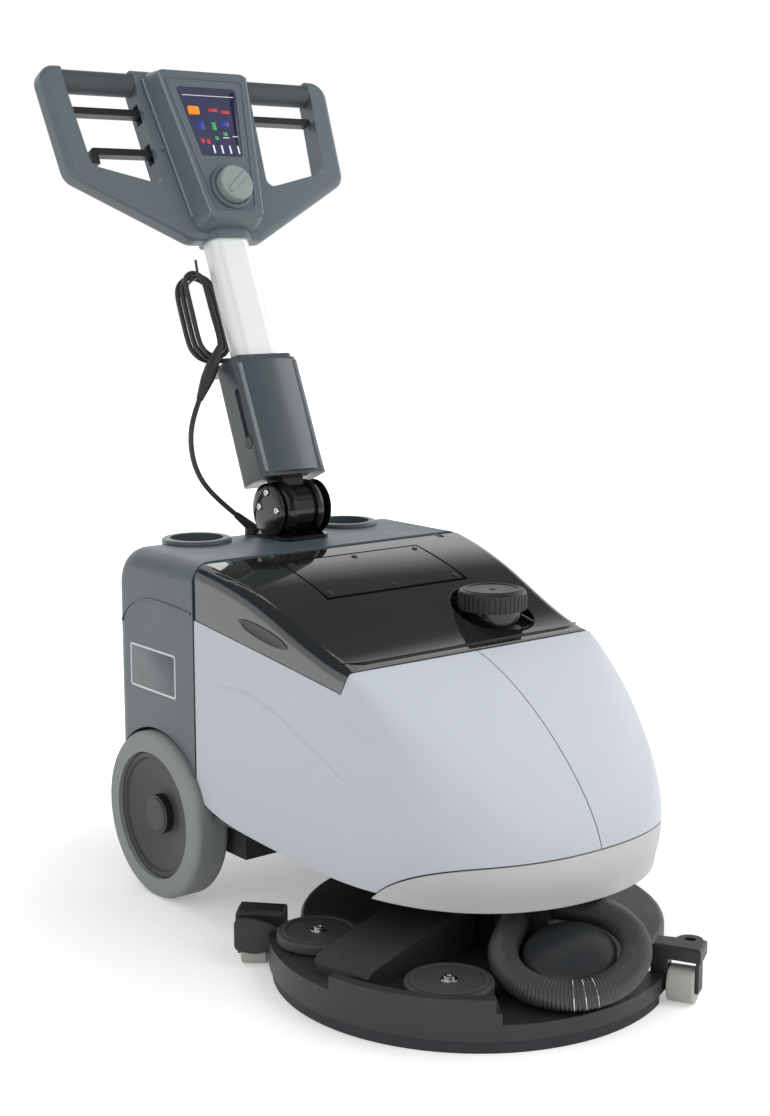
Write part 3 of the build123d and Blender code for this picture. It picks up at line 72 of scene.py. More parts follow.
# Frames in millimetres: on the floor under the axle; on the mast (across, along, towards the face);
# and on the deck, around its swivel axis with the squeegee towards -Y.
FLOOR = Matrix.Translation(UNDER_AXLE) @ Matrix.Scale(MM, 4)
MAST = FLOOR @ Matrix.Translation(MAST_PIVOT) @ Matrix.Rotation(math.radians(90 - MAST_LEAN), 4, "X")
DECK = FLOOR @ Matrix.Translation((0, -DECK_AHEAD, 0)) @ Matrix.Rotation(math.radians(DECK_TURN), 4, "Z")

WHITE = (1.0, 1.0, 1.0, 1.0)
# The machine's sides as its user sees them, each with its direction along X.
SIDES = (("right", -1), ("left", 1))
# Far enough from the machine to look at it from outside, in millimetres.
OUTSIDE = 900.0
# Steps of rounded corners, rounded edges, bowed panels and beads.
CORNER_STEPS = 5
EDGE_STEPS = 2
BOW_STEPS = 24
BEAD_STEPS = 5
# An edge that turns by more than this, in radians, is rounded.
OUTER_EDGE = 0.5
# Points nearer to each other than this are one, in millimetres.
SAME_PLACE = 1e-4
# How a finish reads its noise: smears in the space of one patch, and where most of the noise lies.
SMEARS_PER_PATCH = 2.2
NOISE_LOW, NOISE_HIGH = 0.3, 0.7
LEAST_ROUGHNESS = 0.02


class Body(str, Enum):
    """The moving bodies of the frame that new pieces ride on."""

    CHASSIS = "body"
    RIGHT_WHEEL = "right_wheel"
    LEFT_WHEEL = "left_wheel"
    LID = "lid"
    CAP = "cap"
    MAST = "mast"
    HANDLE = "handle"
    DIAL = "dial"
    DECK = "deck"
    BRUSH = "brush"
    RIGHT_CLAMP = "right_clamp"
    LEFT_CLAMP = "left_clamp"


class Slot(str, Enum):
    """The record's material slots that finishes belong to."""

    TYRE = "tyre_grey"
    HUB = "hub_plastic"
    STEEL = "steel"
    CHASSIS = "chassis_paint"
    SLATE = "slate_plastic"
    SHELL = "light_shell"
    BAND = "band_plastic"
    LID = "smoked_lid"
    BLACK = "black_plastic"
    GLOSS = "black_gloss"
    TUBE = "tube_metal"
    GRIP = "grip_rubber"
    GLASS = "display_glass"
    KEY = "key_orange"
    DIAL = "dial_grey"
    CORD = "cord_rubber"
    WIRE = "wire"
    DECK = "deck_plastic"
    MOTOR = "motor_housing"
    FIBRE = "brush_fibre"
    BLADE = "blade_rubber"
    ROLLER = "roller_plastic"
    HOSE = "hose_plastic"
    TANK = "tank_plastic"
    BATTERY = "battery_case"


class Rounding(str, Enum):
    """What a rounding is made on, in Blender's words."""

    CORNERS = "VERTICES"
    EDGES = "EDGES"


def round_squeegee(radius: float, angle: float, height: float) -> Vector:
    """A place in the deck's frame, by distance and angle from the centre of the squeegee's arc.

    Args:
        radius: distance from that centre, in millimetres.
        angle: degrees from the direction of the squeegee's middle.
        height: height over the floor, in millimetres.

    Returns:
        The place in the deck's frame, in millimetres.
    """
    turn = math.radians(angle)
    return Vector((radius * math.sin(turn), -SQUEEGEE_OFFSET - radius * math.cos(turn), height))


def span(node: str, place: Matrix) -> tuple[Vector, Vector]:
    """The limits of a CAD node along the axes of one of the frames.

    Args:
        node: name of the CAD node.
        place: the frame to measure in.

    Returns:
        The lowest and highest corner, in that frame's millimetres.
    """
    inverse = place.inverted()
    spots = [inverse @ v.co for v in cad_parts[node].data.vertices]
    low = Vector([min(s[i] for s in spots) for i in range(3)])
    high = Vector([max(s[i] for s in spots) for i in range(3)])
    return low, high


def facing(place: Matrix, origin: Sequence[float], normal: Sequence[float], up: Sequence[float]) -> Matrix:
    """A frame on a surface, whose Z points out of it and whose Y points up along it.

    Args:
        place: the frame that the next values are given in.
        origin: where the new frame stands, in millimetres.
        normal: direction out of the surface.
        up: direction that the new Y axis leans to.

    Returns:
        The new frame.
    """
    z = Vector(normal).normalized()
    x = Vector(up).cross(z).normalized()
    y = z.cross(x)
    turn = Matrix((x, y, z)).transposed().to_4x4()
    return place @ Matrix.Translation(origin) @ turn


def linear(code: str) -> tuple[float, float, float, float]:
    """Turn an sRGB hex colour into linear RGBA.

    Args:
        code: six hex digits after a hash sign.

    Returns:
        The colour as Blender's nodes take it.
    """
    parts = [int(code[i:i + 2], 16) / 255 for i in (1, 3, 5)]
    red, green, blue = [c / 12.92 if c <= 0.04045 else ((c + 0.055) / 1.055) ** 2.4 for c in parts]
    return red, green, blue, 1.0


def add_node(tree: bpy.types.NodeTree, kind: str, settings: dict[str, Any],
             inputs: dict[Any, Any]) -> bpy.types.Node:
    """Add one node with its settings and what feeds it.

    Args:
        tree: the node tree it goes into.
        kind: the node's type.
        settings: attributes to set on it.
        inputs: input name or number, with a value or the output socket to link.

    Returns:
        The new node.
    """
    node = tree.nodes.new(kind)
    for key, value in settings.items():
        setattr(node, key, value)
    for key, value in inputs.items():
        if isinstance(value, bpy.types.NodeSocket):
            tree.links.new(value, node.inputs[key])
        else:
            node.inputs[key].default_value = value
    return node


def fade(tree: bpy.types.NodeTree, value: bpy.types.NodeSocket, ends: Sequence[float],
         levels: Sequence[float] = (0.0, 1.0)) -> bpy.types.NodeSocket:
    """Add a level that changes smoothly while a value goes from one end to the other.

    Args:
        tree: the node tree it goes into.
        value: output socket of the value.
        ends: the values where the change starts and ends.
        levels: the level before the change and after it.

    Returns:
        The level's output socket.
    """
    node = add_node(tree, "ShaderNodeMapRange", {"interpolation_type": "SMOOTHSTEP"}, {
        "Value": value, "From Min": ends[0], "From Max": ends[1], "To Min": levels[0], "To Max": levels[1]})
    return node.outputs["Result"]


@dataclass(frozen=True)
class Finish:
    """A moulded or coated surface: a fine grain, patches of slightly uneven tone and gloss, soft edges."""

    name: str
    colour: str
    roughness: float
    slot: Slot
    grain_mm: float = 0.9
    relief_mm: float = 0.012
    patch_mm: float = 110.0
    uneven: float = 0.05
    gloss_spread: float = 0.05
    metallic: float = 0.0
    coat: float = 0.0
    edge_mm: float = 0.9
    specular: float = 0.5

    def material(self) -> bpy.types.Material:
        """The finish as a material, made on first use.

        Returns:
            The material.
        """
        known = bpy.data.materials.get(self.name)
        if known is not None:
            return known
        made = bpy.data.materials.new(self.name)
        made.use_nodes = True
        tree = made.node_tree
        shader = tree.nodes["Principled BSDF"]
        shader.inputs["Metallic"].default_value = self.metallic
        shader.inputs["Coat Weight"].default_value = self.coat
        shader.inputs["Specular IOR Level"].default_value = self.specular
        place = add_node(tree, "ShaderNodeTexCoord", {}, {}).outputs["Object"]
        tree.links.new(self.tone(tree, place), shader.inputs["Base Color"])
        tree.links.new(self.gloss(tree, place), shader.inputs["Roughness"])
        tree.links.new(self.relief(tree, place), shader.inputs["Normal"])
        return made

    def shade(self, share: float) -> tuple[float, float, float, float]:
        """The finish's colour made lighter or darker by a share."""
        red, green, blue, alpha = linear(self.colour)
        return red * share, green * share, blue * share, alpha

    def tone(self, tree: bpy.types.NodeTree, place: bpy.types.NodeSocket) -> bpy.types.NodeSocket:
        """Colour that drifts a little from patch to patch.

        Args:
            tree: the material's nodes.
            place: Object coordinates.

        Returns:
            The colour's output socket.
        """
        patches = add_node(tree, "ShaderNodeTexNoise", {}, {
            "Vector": place, "Scale": 1 / (self.patch_mm * MM), "Detail": 4.0, "Roughness": 0.6})
        mixed = add_node(tree, "ShaderNodeMixRGB", {}, {
            "Fac": patches.outputs["Fac"],
            "Color1": self.shade(1 - self.uneven), "Color2": self.shade(1 + self.uneven)})
        return mixed.outputs["Color"]

    def gloss(self, tree: bpy.types.NodeTree, place: bpy.types.NodeSocket) -> bpy.types.NodeSocket:
        """Roughness that varies as on a handled surface.

        Args:
            tree: the material's nodes.
            place: Object coordinates.

        Returns:
            The roughness output socket.
        """
        smears = add_node(tree, "ShaderNodeTexNoise", {}, {
            "Vector": place, "Scale": SMEARS_PER_PATCH / (self.patch_mm * MM), "Detail": 6.0,
            "Roughness": 0.7})
        spread = add_node(tree, "ShaderNodeMapRange", {}, {
            "Value": smears.outputs["Fac"], "From Min": NOISE_LOW, "From Max": NOISE_HIGH,
            "To Min": max(LEAST_ROUGHNESS, self.roughness - self.gloss_spread),
            "To Max": self.roughness + self.gloss_spread})
        return spread.outputs["Result"]

    def relief(self, tree: bpy.types.NodeTree, place: bpy.types.NodeSocket) -> bpy.types.NodeSocket:
        """Fine moulded grain over edges that catch the light.

        Args:
            tree: the material's nodes.
            place: Object coordinates.

        Returns:
            The normal's output socket.
        """
        grain = add_node(tree, "ShaderNodeTexNoise", {}, {
            "Vector": place, "Scale": 1 / (self.grain_mm * MM), "Detail": 2.0, "Roughness": 0.5})
        edge = add_node(tree, "ShaderNodeBevel", {"samples": 4}, {"Radius": self.edge_mm * MM})
        bump = add_node(tree, "ShaderNodeBump", {}, {
            "Height": grain.outputs["Fac"], "Distance": self.relief_mm * MM, "Strength": 1.0,
            "Normal": edge.outputs["Normal"]})
        return bump.outputs["Normal"]


@dataclass(frozen=True)
class DrawnMetal(Finish):
    """Metal with fine drawing lines along one direction."""

    turn: tuple[float, float, float] = (0.0, 0.0, 0.0)
    stretch: float = 0.02

    def relief(self, tree: bpy.types.NodeTree, place: bpy.types.NodeSocket) -> bpy.types.NodeSocket:
        """Long fine lines in place of a grain, along the turned Z axis.

        Args:
            tree: the material's nodes.
            place: Object coordinates.

        Returns:
            The normal's output socket.
        """
        turned = add_node(tree, "ShaderNodeMapping", {}, {
            "Vector": place, "Rotation": self.turn, "Scale": (1.0, 1.0, self.stretch)})
        return super().relief(tree, turned.outputs["Vector"])


@dataclass(frozen=True)
class SmokedLid(Finish):
    """A gloss lid, smoked black, with a painted slate reflection on the side wings where they face sideways.
    """

    # Painted reflection: the slate tint given to the sideways-facing wings, and the facing range over which
    # it fades in.
    wing_reflection_colour: str = "#1e262b"
    wing_reflection_ends: tuple[float, float] = (0.42, 0.58)

    def tone(self, tree: bpy.types.NodeTree, place: bpy.types.NodeSocket) -> bpy.types.NodeSocket:
        """Black on top, with a painted slate reflection where the surface faces sideways.

        Args:
            tree: the material's nodes.
            place: Object coordinates.

        Returns:
            The colour's output socket.
        """
        top = super().tone(tree, place)
        normal = add_node(tree, "ShaderNodeNewGeometry", {}, {}).outputs["Normal"]
        parts = add_node(tree, "ShaderNodeSeparateXYZ", {}, {"Vector": normal})
        sideways = add_node(tree, "ShaderNodeMath", {"operation": "ABSOLUTE"}, {0: parts.outputs["X"]})
        # Painted reflection: the more sideways the surface faces, the more slate.
        share = fade(tree, sideways.outputs["Value"], self.wing_reflection_ends)
        mixed = add_node(tree, "ShaderNodeMixRGB", {}, {
            "Fac": share, "Color1": top, "Color2": linear(self.wing_reflection_colour)})
        return mixed.outputs["Color"]


@dataclass(frozen=True)
class Backlit(Finish):
    """A printed or lit sign on the display, which gives a little light of its own."""

    glow: float = 0.35

    def material(self) -> bpy.types.Material:
        """The finish as a material with a faint glow.

        Returns:
            The material.
        """
        made = super().material()
        shader = made.node_tree.nodes["Principled BSDF"]
        shader.inputs["Emission Color"].default_value = linear(self.colour)
        shader.inputs["Emission Strength"].default_value = self.glow
        return made


class Finishes:
    """Every finish of the machine, named for the real material and how its surface was made."""

    # Rotational-moulded and injection-moulded plastics: a fine even grain, low sheen.
    SLATE = Finish("slate moulded ABS, fine grain", "#5c686f", 0.40, Slot.SLATE,
                   grain_mm=0.8, relief_mm=0.015)
    HOUSING_SLATE = Finish("slate rotational-moulded polyethylene", "#4c585f", 0.40, Slot.SLATE,
                           relief_mm=0.015)
    # Lighter slate for ridges and strips: a painted highlight along their crests.
    RIDGE_HIGHLIGHT = Finish("slate moulded ABS, smooth ridge", "#78838a", 0.30, Slot.SLATE, relief_mm=0.006)
    SLEEVE = Finish("dark slate moulded ABS", "#434a4d", 0.32, Slot.SLATE, relief_mm=0.012)
    DEEP_SLATE = Finish("deep slate moulded ABS", "#4a545a", 0.34, Slot.SLATE,
                        grain_mm=0.8, relief_mm=0.012)
    SATIN_SLATE = Finish("slate moulded ABS, satin", "#4a5359", 0.22, Slot.SLATE,
                         grain_mm=1.6, relief_mm=0.008, specular=0.8)
    LIGHT_SHELL = Finish("pale blue-grey moulded polyethylene", "#c9cfd8", 0.40, Slot.SHELL,
                         grain_mm=1.4, relief_mm=0.010, uneven=0.02)
    BAND = Finish("warm grey moulded polyethylene", "#cdcecd", 0.48, Slot.BAND,
                  grain_mm=1.4, relief_mm=0.012, uneven=0.02)
    BLACK = Finish("black moulded nylon, satin", "#1d1f20", 0.42, Slot.BLACK, uneven=0.12)
    DECK = Finish("charcoal moulded nylon", "#27292b", 0.46, Slot.DECK, uneven=0.10, edge_mm=1.6)
    KNOB = Finish("charcoal moulded nylon, dusty", "#3d3f3f", 0.55, Slot.BLACK, uneven=0.14, patch_mm=40)
    HOUSING = Finish("dark grey moulded polypropylene", "#2d3033", 0.36, Slot.DECK, uneven=0.06)
    HUB = Finish("dark grey moulded wheel plastic", "#404142", 0.55, Slot.HUB, grain_mm=1.1, relief_mm=0.02)
    DIAL = Finish("light grey-green moulded dial plastic", "#8d9a98", 0.45, Slot.DIAL)
    ROLLER = Finish("off-white turned acetal", "#b9bab5", 0.42, Slot.ROLLER)
    TANK = Finish("natural moulded tank polyethylene", "#cfd0c6", 0.55, Slot.TANK, patch_mm=60, uneven=0.08)
    BATTERY = Finish("black battery case, matt", "#232527", 0.60, Slot.BATTERY)
    # Polished plastics: sharp reflections.
    # The lid's slate wing tint is painted reflection.
    LID = SmokedLid("smoked gloss polycarbonate", "#20211e", 0.06, Slot.LID,
                    grain_mm=6.0, relief_mm=0.002, gloss_spread=0.02, specular=0.9, coat=0.5)
    # Lighter smoked polycarbonate for the grip rims: a painted highlight.
    GRIP_RIM_HIGHLIGHT = Finish("smoked polycarbonate edge", "#33332f", 0.12, Slot.LID,
                      relief_mm=0.003, gloss_spread=0.03)
    GLOSS_BLACK = Finish("black gloss nylon, polished", "#131415", 0.14, Slot.GLOSS,
                         relief_mm=0.004, gloss_spread=0.04)
    GLASS = Finish("dark violet display glass", "#43455f", 0.14, Slot.GLASS, relief_mm=0.0, gloss_spread=0.03)
    NAVY = Finish("navy printed strip under the glass", "#23263f", 0.20, Slot.GLASS,
                  relief_mm=0.0, gloss_spread=0.03)
    # Rubbers: matt, soft, a little dusty.
    TYRE = Finish("grey non-marking tyre rubber", "#929797", 0.68, Slot.TYRE,
                  grain_mm=1.6, relief_mm=0.03, uneven=0.07)
    GRIP = Finish("slate grip rubber, matt", "#464d50", 0.62, Slot.GRIP, grain_mm=1.2, relief_mm=0.04)
    CORD = Finish("charcoal cable rubber", "#313231", 0.48, Slot.CORD,
                  grain_mm=0.8, relief_mm=0.02, uneven=0.10)
    SEAL = Finish("black sealing rubber, dull", "#0f1010", 0.90, Slot.LID, relief_mm=0.01, specular=0.1)
    BLADE = Finish("dark squeegee rubber", "#2b2d33", 0.65, Slot.BLADE)
    HOSE = Finish("charcoal ribbed hose vinyl", "#434547", 0.44, Slot.HOSE, uneven=0.08)
    # Metals: drawn, plated or painted.
    TUBE = DrawnMetal("silver anodised aluminium tube", "#eff1f2", 0.36, Slot.TUBE, metallic=0.2,
                      grain_mm=0.5, relief_mm=0.004, turn=(math.radians(MAST_LEAN), 0.0, 0.0))
    STEEL = DrawnMetal("zinc-plated steel", "#b4b7ba", 0.30, Slot.STEEL, metallic=1.0,
                       relief_mm=0.004, uneven=0.10)
    BRIGHT = Finish("bright plated screw steel", "#dcdee0", 0.18, Slot.STEEL, metallic=1.0, relief_mm=0.002)
    WIRE = Finish("dark plated wire", "#4a4d50", 0.30, Slot.WIRE, metallic=1.0)
    CHASSIS = Finish("charcoal powder-coated steel", "#3a3d3f", 0.55, Slot.CHASSIS,
                     grain_mm=1.0, relief_mm=0.03)
    MOTOR = Finish("black painted motor housing", "#26282a", 0.45, Slot.MOTOR)
    # Brush fibre and small coloured things.
    FIBRE = Finish("black nylon brush fibre", "#232529", 0.55, Slot.FIBRE, patch_mm=20, uneven=0.2)
    KEY = Backlit("orange start key plastic", "#f08a1e", 0.35, Slot.KEY, glow=0.25)
    WHITE_PRINT = Backlit("white printed sign", "#e6e9ee", 0.40, Slot.GLASS, glow=0.20)
    RED_PRINT = Backlit("red printed sign", "#b8343a", 0.40, Slot.GLASS, glow=0.20)
    GREEN_PRINT = Backlit("green printed sign", "#3f9c5a", 0.40, Slot.GLASS, glow=0.20)
    BLUE_PRINT = Backlit("blue printed sign", "#2c3a86", 0.40, Slot.GLASS, glow=0.20)
    PLATE = Finish("dark grey plate foil", "#4b5257", 0.38, Slot.SLATE, relief_mm=0.004)
    PLATE_EDGE = Finish("white plate border", "#e4e6e8", 0.40, Slot.SLATE, relief_mm=0.004)
    # The studio.
    STUDIO_FLOOR = Finish("white studio floor paint", "#f1f0ee", 0.85, Slot.SHELL,
                          patch_mm=2500, uneven=0.01, specular=0.0)


def dress(finish: Finish, *nodes: str) -> None:
    """Give CAD nodes a finish.

    Args:
        finish: the finish.
        nodes: names of the nodes.
    """
    for node in nodes:
        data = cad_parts[node].data
        data.materials.clear()
        data.materials.append(finish.material())


class Blank:
    """One piece being modelled with bmesh operators, which ends as an object at the origin."""

    def __init__(self) -> None:
        """Start an empty piece."""
        self.mesh = bmesh.new()

    def lathe(self, place: Matrix, profile: Sequence[tuple[float, float]], steps: int = 32) -> None:
        """Turn a profile round the Z axis.

        Args:
            place: frame that the profile is drawn in.
            profile: (radius, height) points in millimetres, a closed section where its ends meet.
            steps: flats round the full turn.
        """
        before = set(self.mesh.verts)
        closed = profile[0] == profile[-1]
        spots = profile[:-1] if closed else profile
        verts = [self.mesh.verts.new((radius, 0.0, height)) for radius, height in spots]
        ends = verts[1:] + verts[:1] if closed else verts[1:]
        edges = [self.mesh.edges.new(pair) for pair in zip(verts, ends)]
        bmesh.ops.spin(self.mesh, geom=verts + edges, cent=(0, 0, 0), axis=(0, 0, 1), dvec=(0, 0, 0),
                       angle=math.tau, steps=steps, use_merge=True, use_duplicate=False)
        self.settle(place, before)

    def soften(self, geom: Sequence[Any], size: float, steps: int, kind: Rounding) -> None:
        """Round off corners or edges.

        Args:
            geom: the corners' vertices, or the edges.
            size: how far the rounding reaches, in millimetres.
            steps: flats across the rounding.
            kind: which of the two they are.
        """
        bmesh.ops.bevel(self.mesh, geom=geom, offset=size, segments=steps, profile=0.5,
                        affect=kind.value, material=-1)

    def sheet(self, outline: Sequence[Sequence[float]], corner: float) -> bmesh.types.BMFace:
        """A flat face with rounded corners.

        Args:
            outline: (x, y) corners in millimetres, anticlockwise.
            corner: radius of the corners in millimetres.

        Returns:
            The face.
        """
        known = set(self.mesh.faces)
        verts = [self.mesh.verts.new((x, y, 0.0)) for x, y in outline]
        self.mesh.faces.new(verts)
        if corner:
            self.soften(verts, corner, CORNER_STEPS, Rounding.CORNERS)
        return next(f for f in self.mesh.faces if f not in known)

    def raise_faces(self, faces: Sequence[bmesh.types.BMFace], height: float, edge: float) -> None:
        """Lift flat faces to a body and round its upper edges.

        Args:
            faces: the faces, which stay as its underside.
            height: how far it rises, in millimetres.
            edge: rounding of the upper edges, in millimetres.
        """
        raised = bmesh.ops.extrude_face_region(self.mesh, geom=list(faces), use_keep_orig=True)["geom"]
        top = [g for g in raised if isinstance(g, bmesh.types.BMVert)]
        bmesh.ops.translate(self.mesh, vec=(0, 0, height), verts=top)
        bmesh.ops.recalc_face_normals(self.mesh, faces=self.mesh.faces)
        if edge:
            lifted = [g for g in raised if isinstance(g, bmesh.types.BMEdge)]
            rim = [e for e in lifted if len(e.link_faces) == 2 and e.calc_face_angle() > OUTER_EDGE]
            self.soften(rim, edge, EDGE_STEPS, Rounding.EDGES)

    def plate(self, place: Matrix, outline: Sequence[Sequence[float]], thickness: float, edge: float = 0.0,
              corner: float = 0.0) -> None:
        """Raise a flat outline to a plate with rounded top edges.

        Args:
            place: frame whose XY plane carries the outline.
            outline: (x, y) corners in millimetres, anticlockwise.
            thickness: height of the plate in millimetres.
            edge: rounding of its top edges in millimetres.
            corner: radius of its corners in millimetres.
        """
        before = set(self.mesh.verts)
        self.raise_faces([self.sheet(outline, corner)], thickness, edge)
        self.settle(place, before)

    def rim(self, place: Matrix, outline: Sequence[Sequence[float]], width: float, height: float, edge: float,
            corner: float) -> None:
        """Raise a band along the inside of a flat outline.

        Args:
            place: frame whose XY plane carries the outline.
            outline: (x, y) corners in millimetres, anticlockwise.
            width: width of the band in millimetres.
            height: height of the band in millimetres.
            edge: rounding of its top edges in millimetres.
            corner: radius of the outline's corners in millimetres.
        """
        before = set(self.mesh.verts)
        inner = self.sheet(outline, corner)
        band = bmesh.ops.inset_region(
            self.mesh, faces=[inner], thickness=width, use_boundary=True, use_even_offset=True)["faces"]
        bmesh.ops.delete(self.mesh, geom=[inner], context="FACES_ONLY")
        self.raise_faces(band, height, edge)
        self.settle(place, before)

    def bowed(self, place: Matrix, half_width: float, length: float, rise: float, thickness: float) -> None:
        """A panel bowed outwards across its width.

        Args:
            place: frame whose X is across the panel, Y along it and Z out of it.
            half_width: half the panel's width in millimetres.
            length: its length in millimetres.
            rise: how far its middle stands over its sides, in millimetres.
            thickness: its thickness in millimetres, inwards.
        """
        before = set(self.mesh.verts)
        radius = (half_width ** 2 + rise ** 2) / (2 * rise)
        ends = [self.mesh.verts.new((-half_width, y, 0.0)) for y in (0.0, length)]
        side = self.mesh.edges.new(ends)
        bmesh.ops.spin(self.mesh, geom=ends + [side], cent=(0, 0, rise - radius), axis=(0, 1, 0),
                       dvec=(0, 0, 0), angle=2 * math.asin(half_width / radius), steps=BOW_STEPS,
                       use_merge=False, use_duplicate=False)
        added = [v for v in self.mesh.verts if v not in before]
        faces = list({f for v in added for f in v.link_faces})
        bmesh.ops.recalc_face_normals(self.mesh, faces=faces)
        bmesh.ops.solidify(self.mesh, geom=faces, thickness=thickness)
        self.settle(place, before)

    def settle(self, place: Matrix, before: set) -> None:
        """Close, turn outwards and place what was added last.

        Args:
            place: frame that it was drawn in.
            before: the vertices that were there already.
        """
        added = [v for v in self.mesh.verts if v not in before]
        bmesh.ops.remove_doubles(self.mesh, verts=added, dist=SAME_PLACE)
        added = [v for v in self.mesh.verts if v not in before]
        faces = {f for v in added for f in v.link_faces}
        bmesh.ops.recalc_face_normals(self.mesh, faces=list(faces))
        bmesh.ops.transform(self.mesh, matrix=place, verts=added)

    def finish(self, name: str, finish: Finish, body: Body, sharp: float = 35.0) -> bpy.types.Object:
        """End the piece as a shown object on one of the bodies.

        Args:
            name: the object's name.
            finish: its finish.
            body: the body that it rides on.
            sharp: angle in degrees past which an edge stays sharp.

        Returns:
            The object.
        """
        data = bpy.data.meshes.new(name)
        self.mesh.to_mesh(data)
        self.mesh.free()
        data.shade_smooth()
        data.set_sharp_from_angle(angle=math.radians(sharp))
        return show(name, data, finish, body)


def show(name: str, data: bpy.types.Mesh, finish: Finish, body: Body) -> bpy.types.Object:
    """Make a mesh a shown piece.

    Args:
        name: the piece's name.
        data: its mesh, in the row frame.
        finish: its finish.
        body: the body that it rides on.

    Returns:
        The piece.
    """
    data.name = name
    data.materials.clear()
    data.materials.append(finish.material())
    piece = bpy.data.objects.new(name, data)
    bpy.context.scene.collection.objects.link(piece)
    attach(piece, body.value)
    log.info("%s: %d faces", name, len(data.polygons))
    return piece


class Skin:
    """The surface of a CAD node, to lay trim on."""

    def __init__(self, node: str) -> None:
        """Read the surface of one node.

        Args:
            node: name of the CAD node.
        """
        mesh = bmesh.new()
        mesh.from_mesh(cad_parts[node].data)
        self.tree = BVHTree.FromBMesh(mesh)
        mesh.free()

    def touch(self, start: Sequence[float], line: Sequence[float]) -> tuple[Vector, Vector]:
        """Where a straight line first meets the surface.

        Args:
            start: where the line starts, in millimetres on the floor frame.
            line: its direction.

        Returns:
            The place in millimetres on the floor frame, and the direction out of the surface.
        """
        spot, normal, _, _ = self.tree.ray_cast(FLOOR @ Vector(start), Vector(line))
        if normal.dot(Vector(line)) > 0:
            normal = -normal
        return FLOOR.inverted() @ spot, normal


def nurbs_line(name: str, points: Iterable[Vector], resolution: int) -> bpy.types.Object:
    """A smooth open line with the given control points.

    Args:
        name: the object's name.
        points: control points in the row frame.
        resolution: points per stretch of the evaluated line.

    Returns:
        The curve object, with no thickness yet.
    """
    data = bpy.data.curves.new(name, "CURVE")
    data.dimensions = "3D"
    route = list(points)
    spline = data.splines.new("NURBS")
    spline.points.add(len(route) - 1)
    for control, spot in zip(spline.points, route):
        control.co = (*spot, 1.0)
    spline.order_u = 3
    spline.use_endpoint_u = True
    spline.resolution_u = resolution
    line = bpy.data.objects.new(name, data)
    bpy.context.scene.collection.objects.link(line)
    return line


def read_line(line: bpy.types.Object) -> list[Vector]:
    """The evaluated points of a line that has no thickness.

    Args:
        line: the curve object.

    Returns:
        Its points in order.
    """
    bpy.context.view_layer.update()
    mesh = bpy.data.meshes.new_from_object(line)
    points = [v.co.copy() for v in mesh.vertices]
    bpy.data.meshes.remove(mesh)
    return points


def tube_mesh(line: bpy.types.Object, radius: float) -> bpy.types.Mesh:
    """Give a line a round section and make it a mesh.

    Args:
        line: the curve object, which is removed.
        radius: radius of the section in millimetres.

    Returns:
        The mesh.
    """
    line.data.bevel_depth = radius * MM
    line.data.bevel_resolution = 3
    line.data.use_fill_caps = True
    bpy.context.view_layer.update()
    data = bpy.data.meshes.new_from_object(line)
    bpy.data.objects.remove(line)
    data.shade_smooth()
    return data


def bead(name: str, points: Iterable[Vector], radius: float, finish: Finish, body: Body) -> None:
    """A thin round bead along a smooth line.

    Args:
        name: the piece's name.
        points: control points in millimetres on the floor frame.
        radius: radius of the bead in millimetres.
        finish: its finish.
        body: the body that it rides on.
    """
    line = nurbs_line(name + "_line", [FLOOR @ spot for spot in points], BEAD_STEPS)
    show(name, tube_mesh(line, radius), finish, body)


def on_mast(across: float, along: float, out: float) -> Vector:
    """A place given on the mast, in millimetres on the floor frame."""
    return FLOOR.inverted() @ (MAST @ Vector((across, along, out)))


def oblong(half_width: float, half_height: float) -> list[tuple[float, float]]:
    """The corners of a rectangle round the origin, anticlockwise."""
    return [(x * half_width, y * half_height) for x, y in ((-1, -1), (1, -1), (1, 1), (-1, 1))]


def disc_profile(radius: float, sink: float, rise: float, ease: float,
                 fall: float) -> list[tuple[float, float]]:
    """The section of a disc whose top edge is eased.

    Args:
        radius: radius of the disc, in millimetres.
        sink: how far it reaches under its seat, in millimetres.
        rise: height of its top over its seat, in millimetres.
        ease: width of the eased edge, in millimetres.
        fall: height of the eased edge, in millimetres.

    Returns:
        (radius, height) points from the axis and back to it.
    """
    return [(0.0, -sink), (radius, -sink), (radius, rise - fall), (radius - ease, rise), (0.0, rise)]


def ring_profile(outer: float, inner: float, sink: float, rise: float, ease: float,
                 fall: float) -> list[tuple[float, float]]:
    """The closed section of a ring whose top edges are eased.

    Args:
        outer: outer radius of the ring, in millimetres.
        inner: its inner radius, in millimetres.
        sink: how far it reaches under its seat, in millimetres.
        rise: height of its top over its seat, in millimetres.
        ease: width of the eased edges, in millimetres.
        fall: height of the eased edges, in millimetres.

    Returns:
        (radius, height) points, closed on themselves.
    """
    top = [(outer, rise - fall), (outer - ease, rise), (inner + ease, rise), (inner, rise - fall)]
    return [(outer, -sink), *top, (inner, -sink), (outer, -sink)]


@dataclass(frozen=True)
class Lamp:
    """A square soft lamp of the studio, which may be kept out of reflections."""

    name: str
    spot: tuple[float, float, float]
    size: float
    level: float
    glare: bool = True

    def hang(self, aim: Vector) -> None:
        """Hang the lamp, facing the machine.

        Args:
            aim: the place that it faces, in the row frame.
        """
        data = bpy.data.lights.new(self.name, "AREA")
        data.shape = "SQUARE"
        data.size = self.size
        lamp = bpy.data.objects.new(self.name, data)
        lamp.location = FLOOR @ Vector(self.spot)
        lamp.visible_glossy = self.glare
        away = lamp.location - aim
        data.energy = self.level * (math.pi * away.length) ** 2
        lamp.rotation_euler = away.to_track_quat("Z", "Y").to_euler()
        bpy.context.scene.collection.objects.link(lamp)


